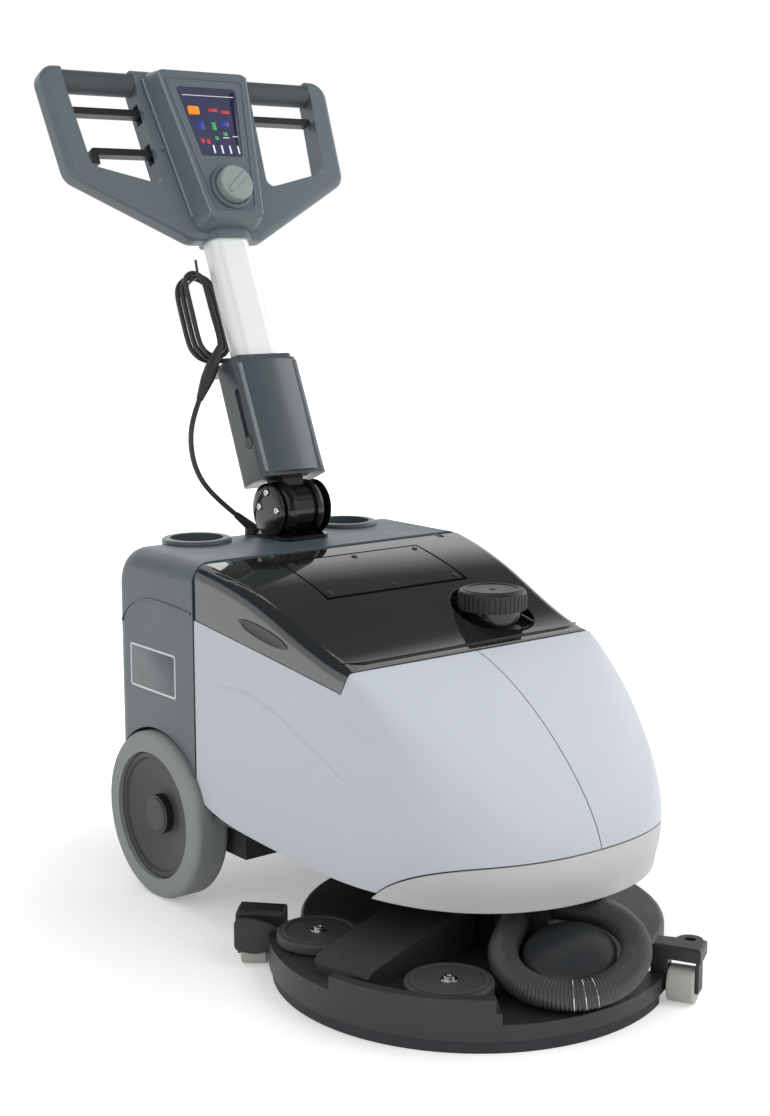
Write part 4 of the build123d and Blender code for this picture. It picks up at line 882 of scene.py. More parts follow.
@dataclass
class Studio:
    """Pale floor, soft light and the camera."""

    target: tuple[float, float, float] = (6.8, -169.8, 407.8)
    back: tuple[float, float, float] = (-0.6127, -0.7719, 0.1699)
    distance: float = 2063.5
    focal_px: float = 1792.65
    image_height_px: float = 1116.0
    sensor_mm: float = 36.0
    sight_end: float = 100.0
    floor_half: float = 14.0
    near_glow: float = 0.32
    glow_ends: tuple[float, float] = (0.3, 1.0)
    # A large soft key from the front, which gives no glare, one lamp from each side and one from behind.
    lamps: tuple[Lamp, ...] = (
        Lamp("key", (800.0, -1900.0, 2250.0), 2.2, 0.43, glare=False),
        Lamp("fill", (-2000.0, -900.0, 1700.0), 2.6, 0.29),
        Lamp("side", (2200.0, -500.0, 1500.0), 2.0, 0.20),
        Lamp("rear", (300.0, 2000.0, 2100.0), 2.4, 0.20),
    )
    lamp_aim: tuple[float, float, float] = (0.0, -150.0, 350.0)
    world_level: float = 0.42
    # In reflections the surround is dimmer towards the camera and overhead.
    front_ends: tuple[float, float] = (0.1, 0.7)
    front_mirror: float = 0.22
    top_ends: tuple[float, float] = (0.45, 0.62)
    top_mirror: float = 0.12

    def build(self) -> None:
        """Make the camera, the floor, the lamps and the world."""
        self.make_camera()
        self.make_floor()
        for lamp in self.lamps:
            lamp.hang(FLOOR @ Vector(self.lamp_aim))
        self.make_world()
        bpy.context.scene.view_settings.view_transform = "Standard"

    def make_camera(self) -> None:
        """The camera at the photograph's viewing angle."""
        data = bpy.data.cameras.new("camera")
        data.sensor_width = self.sensor_mm
        data.lens = self.focal_px * self.sensor_mm / self.image_height_px
        data.clip_end = self.sight_end
        camera = bpy.data.objects.new("camera", data)
        back = Vector(self.back).normalized()
        camera.location = FLOOR @ (Vector(self.target) + back * self.distance)
        camera.rotation_euler = (-back).to_track_quat("-Z", "Y").to_euler()
        bpy.context.scene.collection.objects.link(camera)
        bpy.context.scene.camera = camera

    def seen(self, tree: bpy.types.NodeTree) -> bpy.types.NodeSocket:
        """One for what the camera sees directly, in a reflection or through something clear.

        Args:
            tree: the nodes of the floor or the world.

        Returns:
            The output socket, which is zero for light on the machine.
        """
        path = add_node(tree, "ShaderNodeLightPath", {}, {})
        mirrored = add_node(tree, "ShaderNodeMath", {"operation": "MAXIMUM"}, {
            0: path.outputs["Is Camera Ray"], 1: path.outputs["Is Glossy Ray"]})
        through = add_node(tree, "ShaderNodeMath", {"operation": "MAXIMUM"}, {
            0: mirrored.outputs["Value"], 1: path.outputs["Is Transmission Ray"]})
        return through.outputs["Value"]

    def make_floor(self) -> None:
        """A wide pale floor that fades to white away from the machine."""
        mesh = bmesh.new()
        bmesh.ops.create_grid(mesh, x_segments=1, y_segments=1, size=self.floor_half)
        data = bpy.data.meshes.new("studio_floor")
        mesh.to_mesh(data)
        mesh.free()
        data.materials.append(Finishes.STUDIO_FLOOR.material())
        tree = data.materials[0].node_tree
        place = add_node(tree, "ShaderNodeTexCoord", {}, {}).outputs["Object"]
        away = add_node(tree, "ShaderNodeVectorMath", {"operation": "LENGTH"}, {0: place})
        glow = fade(tree, away.outputs["Value"], self.glow_ends, (self.near_glow, 1.0))
        share = add_node(tree, "ShaderNodeMath", {"operation": "MULTIPLY"}, {0: self.seen(tree), 1: glow})
        shader = tree.nodes["Principled BSDF"]
        shader.inputs["Emission Color"].default_value = WHITE
        tree.links.new(share.outputs["Value"], shader.inputs["Emission Strength"])
        floor = bpy.data.objects.new("studio_floor", data)
        bpy.context.scene.collection.objects.link(floor)

    def make_world(self) -> None:
        """A white surround to the camera, dimmer where it is reflected, and an even sky for the light."""
        world = bpy.data.worlds.new("studio")
        world.use_nodes = True
        bpy.context.scene.world = world
        tree = world.node_tree
        path = add_node(tree, "ShaderNodeLightPath", {}, {})
        dimmed = add_node(tree, "ShaderNodeMapRange", {}, {
            "Value": path.outputs["Is Glossy Ray"], "To Min": 1.0, "To Max": self.mirrored(tree)})
        level = add_node(tree, "ShaderNodeMapRange", {}, {
            "Value": self.seen(tree), "To Min": self.world_level, "To Max": dimmed.outputs["Result"]})
        background = tree.nodes["Background"]
        background.inputs["Color"].default_value = WHITE
        tree.links.new(level.outputs["Result"], background.inputs["Strength"])

    def mirrored(self, tree: bpy.types.NodeTree) -> bpy.types.NodeSocket:
        """How bright the surround is in a reflection: the room behind the camera and overhead is dimmer.

        Args:
            tree: the world's nodes.

        Returns:
            The strength's output socket.
        """
        line = add_node(tree, "ShaderNodeTexCoord", {}, {}).outputs["Generated"]
        towards = add_node(tree, "ShaderNodeVectorMath", {"operation": "DOT_PRODUCT"}, {
            0: line, 1: self.back})
        front = fade(tree, towards.outputs["Value"], self.front_ends, (1.0, self.front_mirror))
        parts = add_node(tree, "ShaderNodeSeparateXYZ", {}, {"Vector": line})
        top = fade(tree, parts.outputs["Z"], self.top_ends, (1.0, self.top_mirror))
        both = add_node(tree, "ShaderNodeMath", {"operation": "MULTIPLY"}, {0: front, 1: top})
        return both.outputs["Value"]


@dataclass
class ChargingLead:
    """The charging lead: a lower cord from the body to the connector, and a coil hung behind the mast."""

    diameter: float = 6.5
    gland_foot: tuple[float, float, float] = (-28.0, 50.0, 420.0)
    gland_line: tuple[float, float, float] = (-0.72, 0.25, 0.65)
    boot_length: float = 26.0
    lead_rise: float = 34.0
    bow: tuple[tuple[float, float, float], ...] = ((-92.0, 71.0, 487.0), (-102.0, 71.0, 521.0))
    connector_low: tuple[float, float, float] = (-84.0, 150.0, -14.0)
    connector_high: tuple[float, float, float] = (-40.0, 214.0, -10.0)
    connector_lead: float = 30.0
    lower_steps: int = 10
    # The coil: its turns, the step from one to the next, and where they run on the mast.
    turns: int = 3
    step: float = 7.6
    middle: float = 262.0
    half_height: float = 55.0
    entry: float = 31.0
    tuck: float = 13.0
    left: float = 57.5
    spread: float = 3.0
    near: float = 20.0
    plug_side: float = 2.0
    arc_steps: int = 3
    coil_steps: int = 6

    def build(self) -> None:
        self.build_lower()
        self.build_coil()

    def connector(self) -> tuple[Vector, Vector, Vector]:
        """Where the connector is on the mast.

        Returns:
            Its lower end, upper end and direction, in the row frame.
        """
        low = MAST @ Vector(self.connector_low)
        high = MAST @ Vector(self.connector_high)
        return low, high, (high - low).normalized()

    def build_lower(self) -> None:
        """The cord from the body to the connector, as a mesh tube along its smooth line."""
        low, _, aim = self.connector()
        gland_line = Vector(self.gland_line).normalized()
        boot_end = Vector(self.gland_foot) + gland_line * self.boot_length
        rise = boot_end + gland_line * self.lead_rise
        route = [FLOOR @ Vector(spot) for spot in (boot_end, rise, *self.bow)]
        route += [low - aim * self.connector_lead * MM, low]
        line = nurbs_line("charging_lead_line", route, self.lower_steps)
        path = read_line(line)
        data = tube_mesh(line, self.diameter / 2)
        data.name = "charging_lead"
        data.materials.clear()
        data.materials.append(Finishes.CORD.material())
        lead = bpy.data.objects.new("charging_lead", data)
        bpy.context.scene.collection.objects.link(lead)
        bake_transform(lead)
        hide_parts("cord_lower")

    def stations(self) -> list[tuple[float, float]]:
        """The right, top, left and bottom of each turn of the coil.

        Returns:
            Places as (across, along) on the mast, in millimetres.
        """
        high, low = self.middle + self.half_height, self.middle - self.half_height
        spots = []
        for turn in range(self.turns):
            right = -self.tuck if turn else -self.entry
            left = -self.left - self.spread * turn
            spots += [(right, self.middle), ((left + right) / 2, high)]
            spots += [(left, self.middle), ((left - self.tuck) / 2, low)]
        return spots

    def coil_points(self) -> list[Vector]:
        """Control points from the connector to the plug: in each quarter a straight side and an arc.

        Returns:
            The points in the row frame.
        """
        _, high, aim = self.connector()
        points = [high, high + aim * self.diameter * MM]
        spots = self.stations()
        turns = [math.pi / 2 * k / self.arc_steps for k in range(self.arc_steps)]
        for quarter, pair in enumerate(zip(spots, spots[1:])):
            rising = quarter % 2 == 0
            (side, middle), (tip, end) = pair if rising else pair[::-1]
            reach = math.copysign(abs(side - tip), end - middle)
            arc = [(tip + (side - tip) * math.cos(t), end - reach + reach * math.sin(t)) for t in turns]
            run = [(side, middle), *arc] if rising else [(tip, end), *arc[::-1]]
            for k, (x, along) in enumerate(run):
                depth = -self.near - self.step * (quarter + k / len(run)) / 4
                points.append(MAST @ Vector((x, along, depth)))
        depth = -self.near - self.step * (len(spots) - 1) / 4
        points.append(MAST @ Vector((*spots[-1], depth)))
        points.append(MAST @ Vector((self.plug_side, spots[-1][1], depth)))
        return points

    def build_coil(self) -> None:
        """The coil as one smooth cord on the mast."""
        coil = nurbs_line("lead_coil", self.coil_points(), self.coil_steps)
        path = read_line(coil)
        coil.data.bevel_depth = self.diameter / 2 * MM
        coil.data.bevel_resolution = 4
        coil.data.use_fill_caps = True
        coil.data.materials.append(Finishes.CORD.material())
        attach(coil, Body.MAST.value)
        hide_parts("cord_coil")

    def dress(self) -> None:
        """Finish the gland, connector, plug and hook."""
        dress(Finishes.CORD, "cord_gland", "cord_connector", "cord_plug")
        dress(Finishes.WIRE, "coil_hook")


@dataclass
class SuctionHose:
    """The ribbed hose that makes three quarters of a turn round the suction dome."""

    dome_radius: float = 152.0
    dome_angle: float = 51.0
    height: float = 67.0
    tilt: float = 18.4
    low_angle: float = -5.0
    loop_radius: float = 66.5
    loop_angle: int = 270
    diameter: float = 31.0
    rib_depth: float = 1.6
    step_angle: int = 30
    rings_per_step: int = 36
    sides: int = 28
    tie_place: tuple[float, float, float] = (139.9, -238.3, 68.0)
    tie_step: int = 11
    tie_wire: float = 0.9
    tie_sides: int = 8

    def place(self) -> Matrix:
        """The frame of the loop: its plane is tilted, and the open quarter faces the swivel axis.

        Returns:
            The frame, with the loop's centre at its origin.
        """
        centre = round_squeegee(self.dome_radius, self.dome_angle, self.height)
        low, tilt = math.radians(self.low_angle), math.radians(self.tilt)
        x = Vector((math.sin(low) * math.cos(tilt), -math.cos(low) * math.cos(tilt), -math.sin(tilt)))
        z = Vector((math.sin(low) * math.sin(tilt), -math.cos(low) * math.sin(tilt), math.cos(tilt)))
        turn = Matrix((x, z.cross(x), z)).transposed().to_4x4()
        plane = Matrix.Translation(centre) @ turn
        swivel = plane.inverted() @ Vector((0.0, 0.0, self.height))
        bearing = math.atan2(swivel.y, swivel.x) + math.radians((360 - self.loop_angle) / 2)
        return DECK @ plane @ Matrix.Rotation(bearing, 4, "Z")

    def route(self) -> list[Vector]:
        """Control points of the hose: straight in, three quarters of a turn, straight out.

        Returns:
            The points in the row frame.
        """
        half = math.radians(self.step_angle / 2)
        reach = self.loop_radius / math.cos(half)
        leads = (self.diameter, self.diameter / 2)
        spots = [Vector((self.loop_radius, -lead, 0.0)) for lead in leads]
        for angle in range(self.step_angle // 2, self.loop_angle, self.step_angle):
            turn = math.radians(angle)
            spots.append(Vector((reach * math.cos(turn), reach * math.sin(turn), 0.0)))
        spots += [Vector((lead, -self.loop_radius, 0.0)) for lead in leads[::-1]]
        return [self.place() @ spot for spot in spots]

    def build(self) -> None:
        """Make the ribbed wall ring by ring along the hose's line, then its ties."""
        line = nurbs_line("suction_hose_line", self.route(), self.rings_per_step)
        path = read_line(line)
        bpy.data.objects.remove(line)
        across = (self.place().to_3x3() @ Vector((0.0, 0.0, 1.0))).normalized()
        crest = self.diameter / 2 * MM
        valley = crest - self.rib_depth * MM
        form = (valley, crest, crest, valley)
        blank = Blank()
        rings = [self.ring(path, i, across, form[i % len(form)]) for i in range(len(path))]
        made = bmesh.ops.create_circle(blank.mesh, segments=self.sides, radius=1.0, matrix=rings[0])
        edges = list({e for v in made["verts"] for e in v.link_edges})
        for last, ring in zip(rings, rings[1:]):
            grown = bmesh.ops.extrude_edge_only(blank.mesh, edges=edges)["geom"]
            verts = [g for g in grown if isinstance(g, bmesh.types.BMVert)]
            edges = [g for g in grown if isinstance(g, bmesh.types.BMEdge)]
            bmesh.ops.transform(blank.mesh, matrix=ring @ last.inverted(), verts=verts)
        bmesh.ops.holes_fill(blank.mesh, edges=[e for e in blank.mesh.edges if e.is_boundary], sides=0)
        bmesh.ops.recalc_face_normals(blank.mesh, faces=blank.mesh.faces)
        hose = blank.finish("ribbed_hose", Finishes.HOSE, Body.DECK, sharp=60.0)
        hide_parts("suction_hose")
        self.build_ties(path, across)

    def ring(self, path: Sequence[Vector], i: int, across: Vector, radius: float) -> Matrix:
        """The frame of one ring of the hose's wall.

        Args:
            path: points of the hose's line.
            i: which point.
            across: direction across the plane of the loop.
            radius: radius of the ring, in metres.

        Returns:
            A matrix that turns a unit circle into the ring.
        """
        along = (path[min(i + 1, len(path) - 1)] - path[max(i - 1, 0)]).normalized()
        out = along.cross(across)
        turn = Matrix((across, out, along)).transposed().to_4x4()
        return Matrix.Translation(path[i]) @ turn @ Matrix.Scale(radius, 4)

    def build_ties(self, path: Sequence[Vector], across: Vector) -> None:
        """Thin bright wire hoops round the hose, whose section is open along one of its flats.

        Args:
            path: points of the hose's line.
            across: direction across the plane of the loop.
        """
        turns = [math.tau * k / self.tie_sides for k in range(self.tie_sides)]
        crest, wire = self.diameter / 2, self.tie_wire
        section = [(crest + wire * math.cos(turn), wire * math.sin(turn)) for turn in turns]
        spot = DECK @ Vector(self.tie_place)
        middle = min(range(len(path)), key=lambda i: (path[i] - spot).length)
        blank = Blank()
        for step in (-self.tie_step, 0, self.tie_step):
            blank.lathe(self.ring(path, middle + step, across, MM), section, steps=40)
        blank.finish("hose_ties", Finishes.BRIGHT, Body.DECK)

    def dress(self) -> None:
        """Finish the hose's CAD node, which the ribbed hose stands for."""
        dress(Finishes.HOSE, "suction_hose")


@dataclass
class BrushDeck:
    """The swivelling deck with its brush, squeegee, clamps and end rollers."""

    fibre_rings: int = 8
    first_ring: float = 60.0
    ring_pitch: float = 16.0
    tuft_radius: float = 2.6
    fibres: int = 7
    fibre_length: float = 20.0
    fibre_clearance: float = 0.2
    fibre_tip: float = 0.9
    fibre_root: float = 1.3
    fibre_lean: float = 0.03
    random_start: int = 4
    ring_outer: float = 39.5
    ring_inner: float = 34.5
    ring_rise: float = 1.6
    screw_seat: float = 0.4
    washer_radius: float = 9.0
    washer_rise: float = 1.0
    screw_radius: float = 5.6
    screw_rise: float = 4.0
    screw_edge: float = 0.6
    screw_ease: float = 0.7
    socket_radius: float = 2.4
    socket_draft: float = 0.4
    socket_floor: float = 2.6
    shroud_angle: float = 80.5
    shroud_gap: float = 20.4
    shroud_wall: float = 3.2
    shroud_edge: float = 1.2
    shroud_corner: float = 6.0
    shroud_outline: tuple[tuple[float, float], ...] = (
        (-20.0, 21.0), (4.0, 17.0), (31.0, 26.0), (32.0, 46.0), (18.0, 53.0), (-2.0, 58.0), (-20.0, 56.0))

    def build(self) -> None:
        """Make the brush tufts, the knobs' trim and the roller's shroud."""
        self.build_tufts()
        self.build_knobs()
        self.build_shroud()

    def build_tufts(self) -> None:
        """Rings of fibre tufts under the brush block."""
        rng = random.Random(self.random_start)
        blank = Blank()
        for ring in range(self.fibre_rings):
            radius = self.first_ring + ring * self.ring_pitch
            count = round(math.tau * radius / self.ring_pitch)
            for k in range(count):
                turn = math.tau * k / count
                middle = Vector((radius * math.cos(turn), radius * math.sin(turn), self.fibre_length / 2))
                self.add_tuft(blank, middle, rng)
        tufts = blank.finish("brush_tufts", Finishes.FIBRE, Body.BRUSH)
        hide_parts("bristles")

    def add_tuft(self, blank: Blank, middle: Vector, rng: random.Random) -> None:
        """One fibre in the middle of a tuft and the others round it, each leaning a little.

        Args:
            blank: the piece that the tuft goes into.
            middle: the tuft's middle in the deck's frame, in millimetres.
            rng: where the leans are drawn from.
        """
        for fibre in range(self.fibres):
            swing = math.tau * fibre / (self.fibres - 1)
            reach = 0.0 if fibre == 0 else self.tuft_radius
            spot = middle + Vector((reach * math.cos(swing), reach * math.sin(swing), 0.0))
            lean_x, lean_y = [rng.uniform(-self.fibre_lean, self.fibre_lean) for _ in range(2)]
            lean = Matrix.Rotation(lean_x, 4, "X") @ Matrix.Rotation(lean_y, 4, "Y")
            bmesh.ops.create_cone(
                blank.mesh, cap_ends=True, segments=3, radius1=self.fibre_tip, radius2=self.fibre_root,
                depth=self.fibre_length - self.fibre_clearance, matrix=DECK @ Matrix.Translation(spot) @ lean)

    def screw_profile(self) -> list[tuple[float, float]]:
        """The section of a socket screw on its washer.

        Returns:
            (radius, height) points in millimetres, from the axis and back to it.
        """
        washer, screw, socket = self.washer_radius, self.screw_radius, self.socket_radius
        seat, low, top = self.screw_seat, self.washer_rise, self.screw_rise
        edge, draft, floor = self.screw_edge, self.socket_draft, self.socket_floor
        return [
            (0.0, -seat), (washer, -seat), (washer, low - seat), (washer - edge, low), (screw, low),
            (screw, top - edge), (screw - self.screw_ease, top), (socket, top), (socket - draft, floor),
            (0.0, floor)]

    def build_knobs(self) -> None:
        """A raised ring round each clamp knob, and a bright screw with its washer in the middle."""
        for side, body in (("right", Body.RIGHT_CLAMP), ("left", Body.LEFT_CLAMP)):
            low, high = span(side + "_knob", DECK)
            place = DECK @ Matrix.Translation(((low.x + high.x) / 2, (low.y + high.y) / 2, high.z))
            ring = Blank()
            profile = ring_profile(self.ring_outer, self.ring_inner, 0.3, self.ring_rise, ease=0.9, fall=0.7)
            ring.lathe(place, profile, steps=64)
            ring.finish(side + "_knob_ring", Finishes.KNOB, body)
            screw = Blank()
            screw.lathe(place, self.screw_profile(), steps=28)
            screw.finish(side + "_knob_screw", Finishes.BRIGHT, body)

    def build_shroud(self) -> None:
        """A plate with a rounded outline before the right end roller, which leaves its foot free."""
        low, high = span("right_roller", FLOOR)
        turn = math.radians(DECK_TURN - self.shroud_angle)
        tangent = Vector((math.cos(turn), math.sin(turn), 0.0))
        spot = Vector(((low.x + high.x) / 2, (low.y + high.y) / 2, 0.0)) + tangent * self.shroud_gap
        blank = Blank()
        blank.plate(facing(FLOOR, spot, tangent, (0, 0, 1)), self.shroud_outline, self.shroud_wall,
                    self.shroud_edge, self.shroud_corner)
        blank.finish("roller_shroud", Finishes.DECK, Body.DECK)

    def dress(self) -> None:
        """Finish the deck's CAD nodes."""
        dress(Finishes.DECK, "deck_shell", "squeegee_carrier", "end_brackets")
        dress(Finishes.MOTOR, "brush_motor")
        dress(Finishes.HOUSING, "suction_dome")
        dress(Finishes.BLACK, "brush_block")
        dress(Finishes.KNOB, "right_knob", "left_knob")
        dress(Finishes.BLADE, "squeegee_blades")
        dress(Finishes.ROLLER, "right_roller", "left_roller")


@dataclass
class RearWheels:
    """The two rear wheels."""

    rim_radius: float = 76.0
    rim_wall: float = 7.0
    rim_edge: float = 1.5
    rim_draft: float = 0.5
    dish_depth: float = 12.0
    dish_run: float = 14.0
    boss_radius: float = 21.0
    boss_fillet: float = 4.0
    boss_edge: float = 2.0
    bush_radius: float = 14.0
    axle_cover: float = 6.0
    collar_wall: float = 2.6
    collar_lap: float = 1.0
    collar_drop: float = 1.4
    collar_edge: tuple[float, float] = (1.0, 0.8)

    def build(self) -> None:
        """Turn each hub with its dished face, and a black collar round its boss that makes the boss's side
        dark.
        """
        for (side, sign), body in zip(SIDES, (Body.RIGHT_WHEEL, Body.LEFT_WHEEL)):
            low, high = span(side + "_wheel_hub", FLOOR)
            half = (high.x - low.x) / 2
            centre = ((low.x + high.x) / 2, 0.0, (low.z + high.z) / 2)
            place = facing(FLOOR, centre, (sign, 0, 0), (0, 0, 1))
            blank = Blank()
            blank.lathe(place, self.hub_profile(half), steps=72)
            hub = blank.finish(side + "_hub", Finishes.HUB, body)
            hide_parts(side + "_wheel_hub")
            # A black collar that makes the side of the boss dark.
            collar = Blank()
            collar.lathe(place, self.collar_profile(half), steps=64)
            collar.finish(side + "_hub_collar", Finishes.BLACK, body)

    def hub_profile(self, half: float) -> list[tuple[float, float]]:
        """The section of a hub: its bore, then the rim, the dish and the boss over the end of the axle.

        Args:
            half: half the hub's width, in millimetres.

        Returns:
            (radius, height) points in millimetres, from the axis and back to it.
        """
        rim, edge, wall = self.rim_radius, self.rim_edge, self.rim_radius - self.rim_wall
        boss, fillet, easing = self.boss_radius, self.boss_fillet, self.boss_edge
        floor, cover = half - self.dish_depth, half - self.axle_cover
        return [
            (0.0, cover), (self.bush_radius, cover), (self.bush_radius, -half),
            (rim, -half), (rim, half - edge), (rim - edge, half), (wall, half), (wall - edge, half - edge),
            (wall - edge - self.rim_draft, half - 2 * edge), (boss + self.dish_run, floor + edge),
            (boss + fillet, floor), (boss + fillet / 4, floor + fillet / 4), (boss, floor + fillet * 3 / 4),
            (boss - easing * 0.3, half - easing * 0.6), (boss - easing, half), (0.0, half)]

    def collar_profile(self, half: float) -> list[tuple[float, float]]:
        """The section of the collar round a hub's boss, open on the floor of the dish.

        Args:
            half: half the hub's width, in millimetres.

        Returns:
            (radius, height) points in millimetres.
        """
        outer, inner = self.boss_radius + self.collar_wall, self.boss_radius - self.collar_lap
        floor, top = half - self.dish_depth, half - self.collar_drop
        ease, fall = self.collar_edge
        return [(outer, floor), (outer, top - fall), (outer - ease, top), (inner, top), (inner, floor)]

    def dress(self) -> None:
        """Finish the wheels' CAD nodes."""
        dress(Finishes.TYRE, "right_wheel_tyre", "left_wheel_tyre")
        dress(Finishes.HUB, "right_wheel_hub", "left_wheel_hub")
        dress(Finishes.ROLLER, "right_wheel_bush", "left_wheel_bush")
        dress(Finishes.STEEL, "axle")


@dataclass
class TankBody:
    """The body: rear housing, front shells, lid and filler."""

    plate_centre: tuple[float, float] = (6.0, 273.0)
    plate_half_width: float = 50.0
    plate_half_height: float = 26.0
    plate_corner: float = 4.0
    plate_edge: float = 0.15
    border_width: float = 2.6
    border_rise: float = 0.35
    field_rise: float = 0.5
    housing_line: tuple[tuple[float, float], ...] = (
        (74.0, 322.0), (68.0, 334.0), (50.0, 348.0), (18.0, 357.5), (-24.0, 358.0), (-78.0, 353.5))
    housing_line_radius: float = 1.4
    creases: tuple[tuple[tuple[float, float], ...], ...] = (
        ((-112.0, 280.0), (-137.5, 279.6), (-184.7, 279.5), (-237.5, 261.9), (-282.9, 241.8), (-333.9, 220.7),
         (-372.0, 205.0)),
        ((-322.0, 287.0), (-346.0, 278.0), (-370.0, 268.0), (-411.0, 247.5)),
    )
    crease_radius: float = 3.0
    crease_sink: float = 1.8
    cup_spots: tuple[tuple[float, float], ...] = ((-111.0, 46.0), (111.0, 46.0))
    cup_floor: float = 368.0
    # A black disc on each cup's floor: painted shade inside the cup.
    cup_shade_radius: float = 27.0
    cup_shade_rise: float = 1.8
    panel_half: float = 100.0
    panel_rear: float = -112.0
    panel_front: float = -204.0
    panel_lap: float = 1.0
    seal_gap: float = 0.8
    seal_radius: float = 1.0
    lip_half: float = 170.0
    lip_height: float = 334.0
    lip_radius: float = 1.9
    grip_spot: tuple[float, float] = (-202.0, 349.5)
    grip_line: tuple[float, float, float] = (0.0, -86.0, -19.0)
    grip_half_width: float = 7.5
    grip_half_length: float = 42.0
    cap_spot: tuple[float, float] = (85.0, -268.0)
    cap_ring_outer: float = 33.0
    cap_ring_inner: float = 30.0
    cap_ring_rise: float = 1.1
    cap_button_radius: float = 4.0
    cap_button_rise: float = 0.9

    def build(self) -> None:
        """Make the plate, mouldings, creases, the painted shade in the cups, lid trim, finger grips and the
        cap's ring.
        """
        self.build_plate()
        self.build_mouldings()
        self.build_creases()
        self.build_cup_shades()
        self.build_lid_trim()
        self.build_finger_grips()
        self.build_cap_trim()

    def build_plate(self) -> None:
        """The bare framed plate on the rear housing."""
        low, _ = span("rear_housing", FLOOR)
        place = facing(FLOOR, (low.x, *self.plate_centre), (-1, 0, 0), (0, 0, 1))
        layers = (
            ("plate_border", 0.0, self.border_rise, Finishes.PLATE_EDGE),
            ("plate_field", -self.border_width, self.field_rise, Finishes.PLATE),
        )
        for name, grow, rise, finish in layers:
            outline = oblong(self.plate_half_width + grow, self.plate_half_height + grow)
            blank = Blank()
            blank.plate(place, outline, rise, self.plate_edge, self.plate_corner + grow)
            blank.finish(name, finish, Body.CHASSIS)

    def build_mouldings(self) -> None:
        """A raised line over each side of the rear housing."""
        low, high = span("rear_housing", FLOOR)
        for side, x in (("right", low.x), ("left", high.x)):
            line = [Vector((x, y, z)) for y, z in self.housing_line]
            bead(side + "_housing_line", line, self.housing_line_radius, Finishes.HOUSING_SLATE, Body.CHASSIS)

    def build_creases(self) -> None:
        """Two soft creases on the side of each front shell, which sink into it at their ends."""
        for side, sign in SIDES:
            skin = Skin(side + "_shell")
            for k, spots in enumerate(self.creases):
                found = [skin.touch((sign * OUTSIDE, y, z), (-sign, 0, 0)) for y, z in spots]
                depths = [self.crease_radius, *[self.crease_sink] * (len(found) - 2), self.crease_radius]
                line = [spot - normal * depth for (spot, normal), depth in zip(found, depths)]
                bead(f"{side}_crease_{k}", line, self.crease_radius, Finishes.LIGHT_SHELL, Body.CHASSIS)

    def build_cup_shades(self) -> None:
        """A black disc in the floor of each cup: painted shade inside the cup."""
        for (side, _), (x, y) in zip(SIDES, self.cup_spots):
            place = FLOOR @ Matrix.Translation((x, y, self.cup_floor))
            profile = disc_profile(self.cup_shade_radius, 0.0, self.cup_shade_rise, ease=1.0, fall=0.6)
            blank = Blank()
            blank.lathe(place, profile, steps=40)
            # Black disc: painted shade in the cup.
            blank.finish(side + "_cup_shade", Finishes.SEAL, Body.CHASSIS)

    def build_lid_trim(self) -> None:
        """The seal round the access panel and the lip along the lid's front edge."""
        skin = Skin("tank_lid")
        panel = Skin("lid_panel")
        rear, front = self.panel_rear + self.seal_gap, self.panel_front - self.seal_gap
        half = self.panel_half + self.seal_gap
        across = [half * k / 6 for k in range(-6, 7)]
        along = [rear + (front - rear) * k / 4 for k in range(5)]
        sides = {
            "rear": [(x, rear) for x in across],
            "right": [(-half, y) for y in along],
            "left": [(half, y) for y in along],
            "front": [(x, front) for x in across],
        }
        for side, spots in sides.items():
            line = [self.over_panel(panel, x, y) for x, y in spots]
            bead("panel_seal_" + side, line, self.seal_radius, Finishes.SEAL, Body.LID)
        starts = [(self.lip_half * k / 10, -OUTSIDE, self.lip_height) for k in range(-10, 11)]
        lip = [skin.touch(start, (0, 1, 0))[0] for start in starts]
        bead("lid_lip", lip, self.lip_radius, Finishes.GLOSS_BLACK, Body.LID)

    def over_panel(self, panel: Skin, x: float, y: float) -> Vector:
        """A place on the seam round the access panel.

        Args:
            panel: the panel's surface.
            x: place across the lid, in millimetres.
            y: place along the lid, in millimetres.

        Returns:
            The place, at the height of the panel's nearest edge.
        """
        inside = self.panel_half - self.panel_lap
        near_x = max(-inside, min(inside, x))
        near_y = max(self.panel_front + self.panel_lap, min(self.panel_rear - self.panel_lap, y))
        spot, _ = panel.touch((near_x, near_y, OUTSIDE), (0, 0, -1))
        return Vector((x, y, spot.z))

    def build_finger_grips(self) -> None:
        """A long dished grip on each wing of the lid, drawn round with a radius of one and then stretched.

        The rim's section is open along its outer wall. The rim's lighter tone is a painted highlight, and the
        well is a near-flat black lens of painted shade for a recess.
        """
        skin = Skin("tank_lid")
        stretch = Matrix.Diagonal((self.grip_half_width, self.grip_half_length, 1.0, 1.0))
        for side, sign in SIDES:
            spot, normal = skin.touch((sign * OUTSIDE, *self.grip_spot), (-sign, 0, 0))
            place = facing(FLOOR, spot, normal, self.grip_line) @ stretch
            rim = Blank()
            rim.lathe(place, ((1.0, 0.7), (0.94, 1.2), (0.84, 0.9), (0.80, -1.0), (1.0, -1.0)), steps=48)
            # Lighter rim: painted highlight.
            rim.finish(side + "_grip_rim", Finishes.GRIP_RIM_HIGHLIGHT, Body.LID)
            well = Blank()
            well.lathe(place, ((0.0, -0.5), (0.86, -0.5), (0.86, 0.5), (0.4, 0.2), (0.0, 0.15)), steps=48)
            # Black lens over the wing: painted shade of a recess.
            well.finish(side + "_grip_well_shade", Finishes.GLOSS_BLACK, Body.LID)

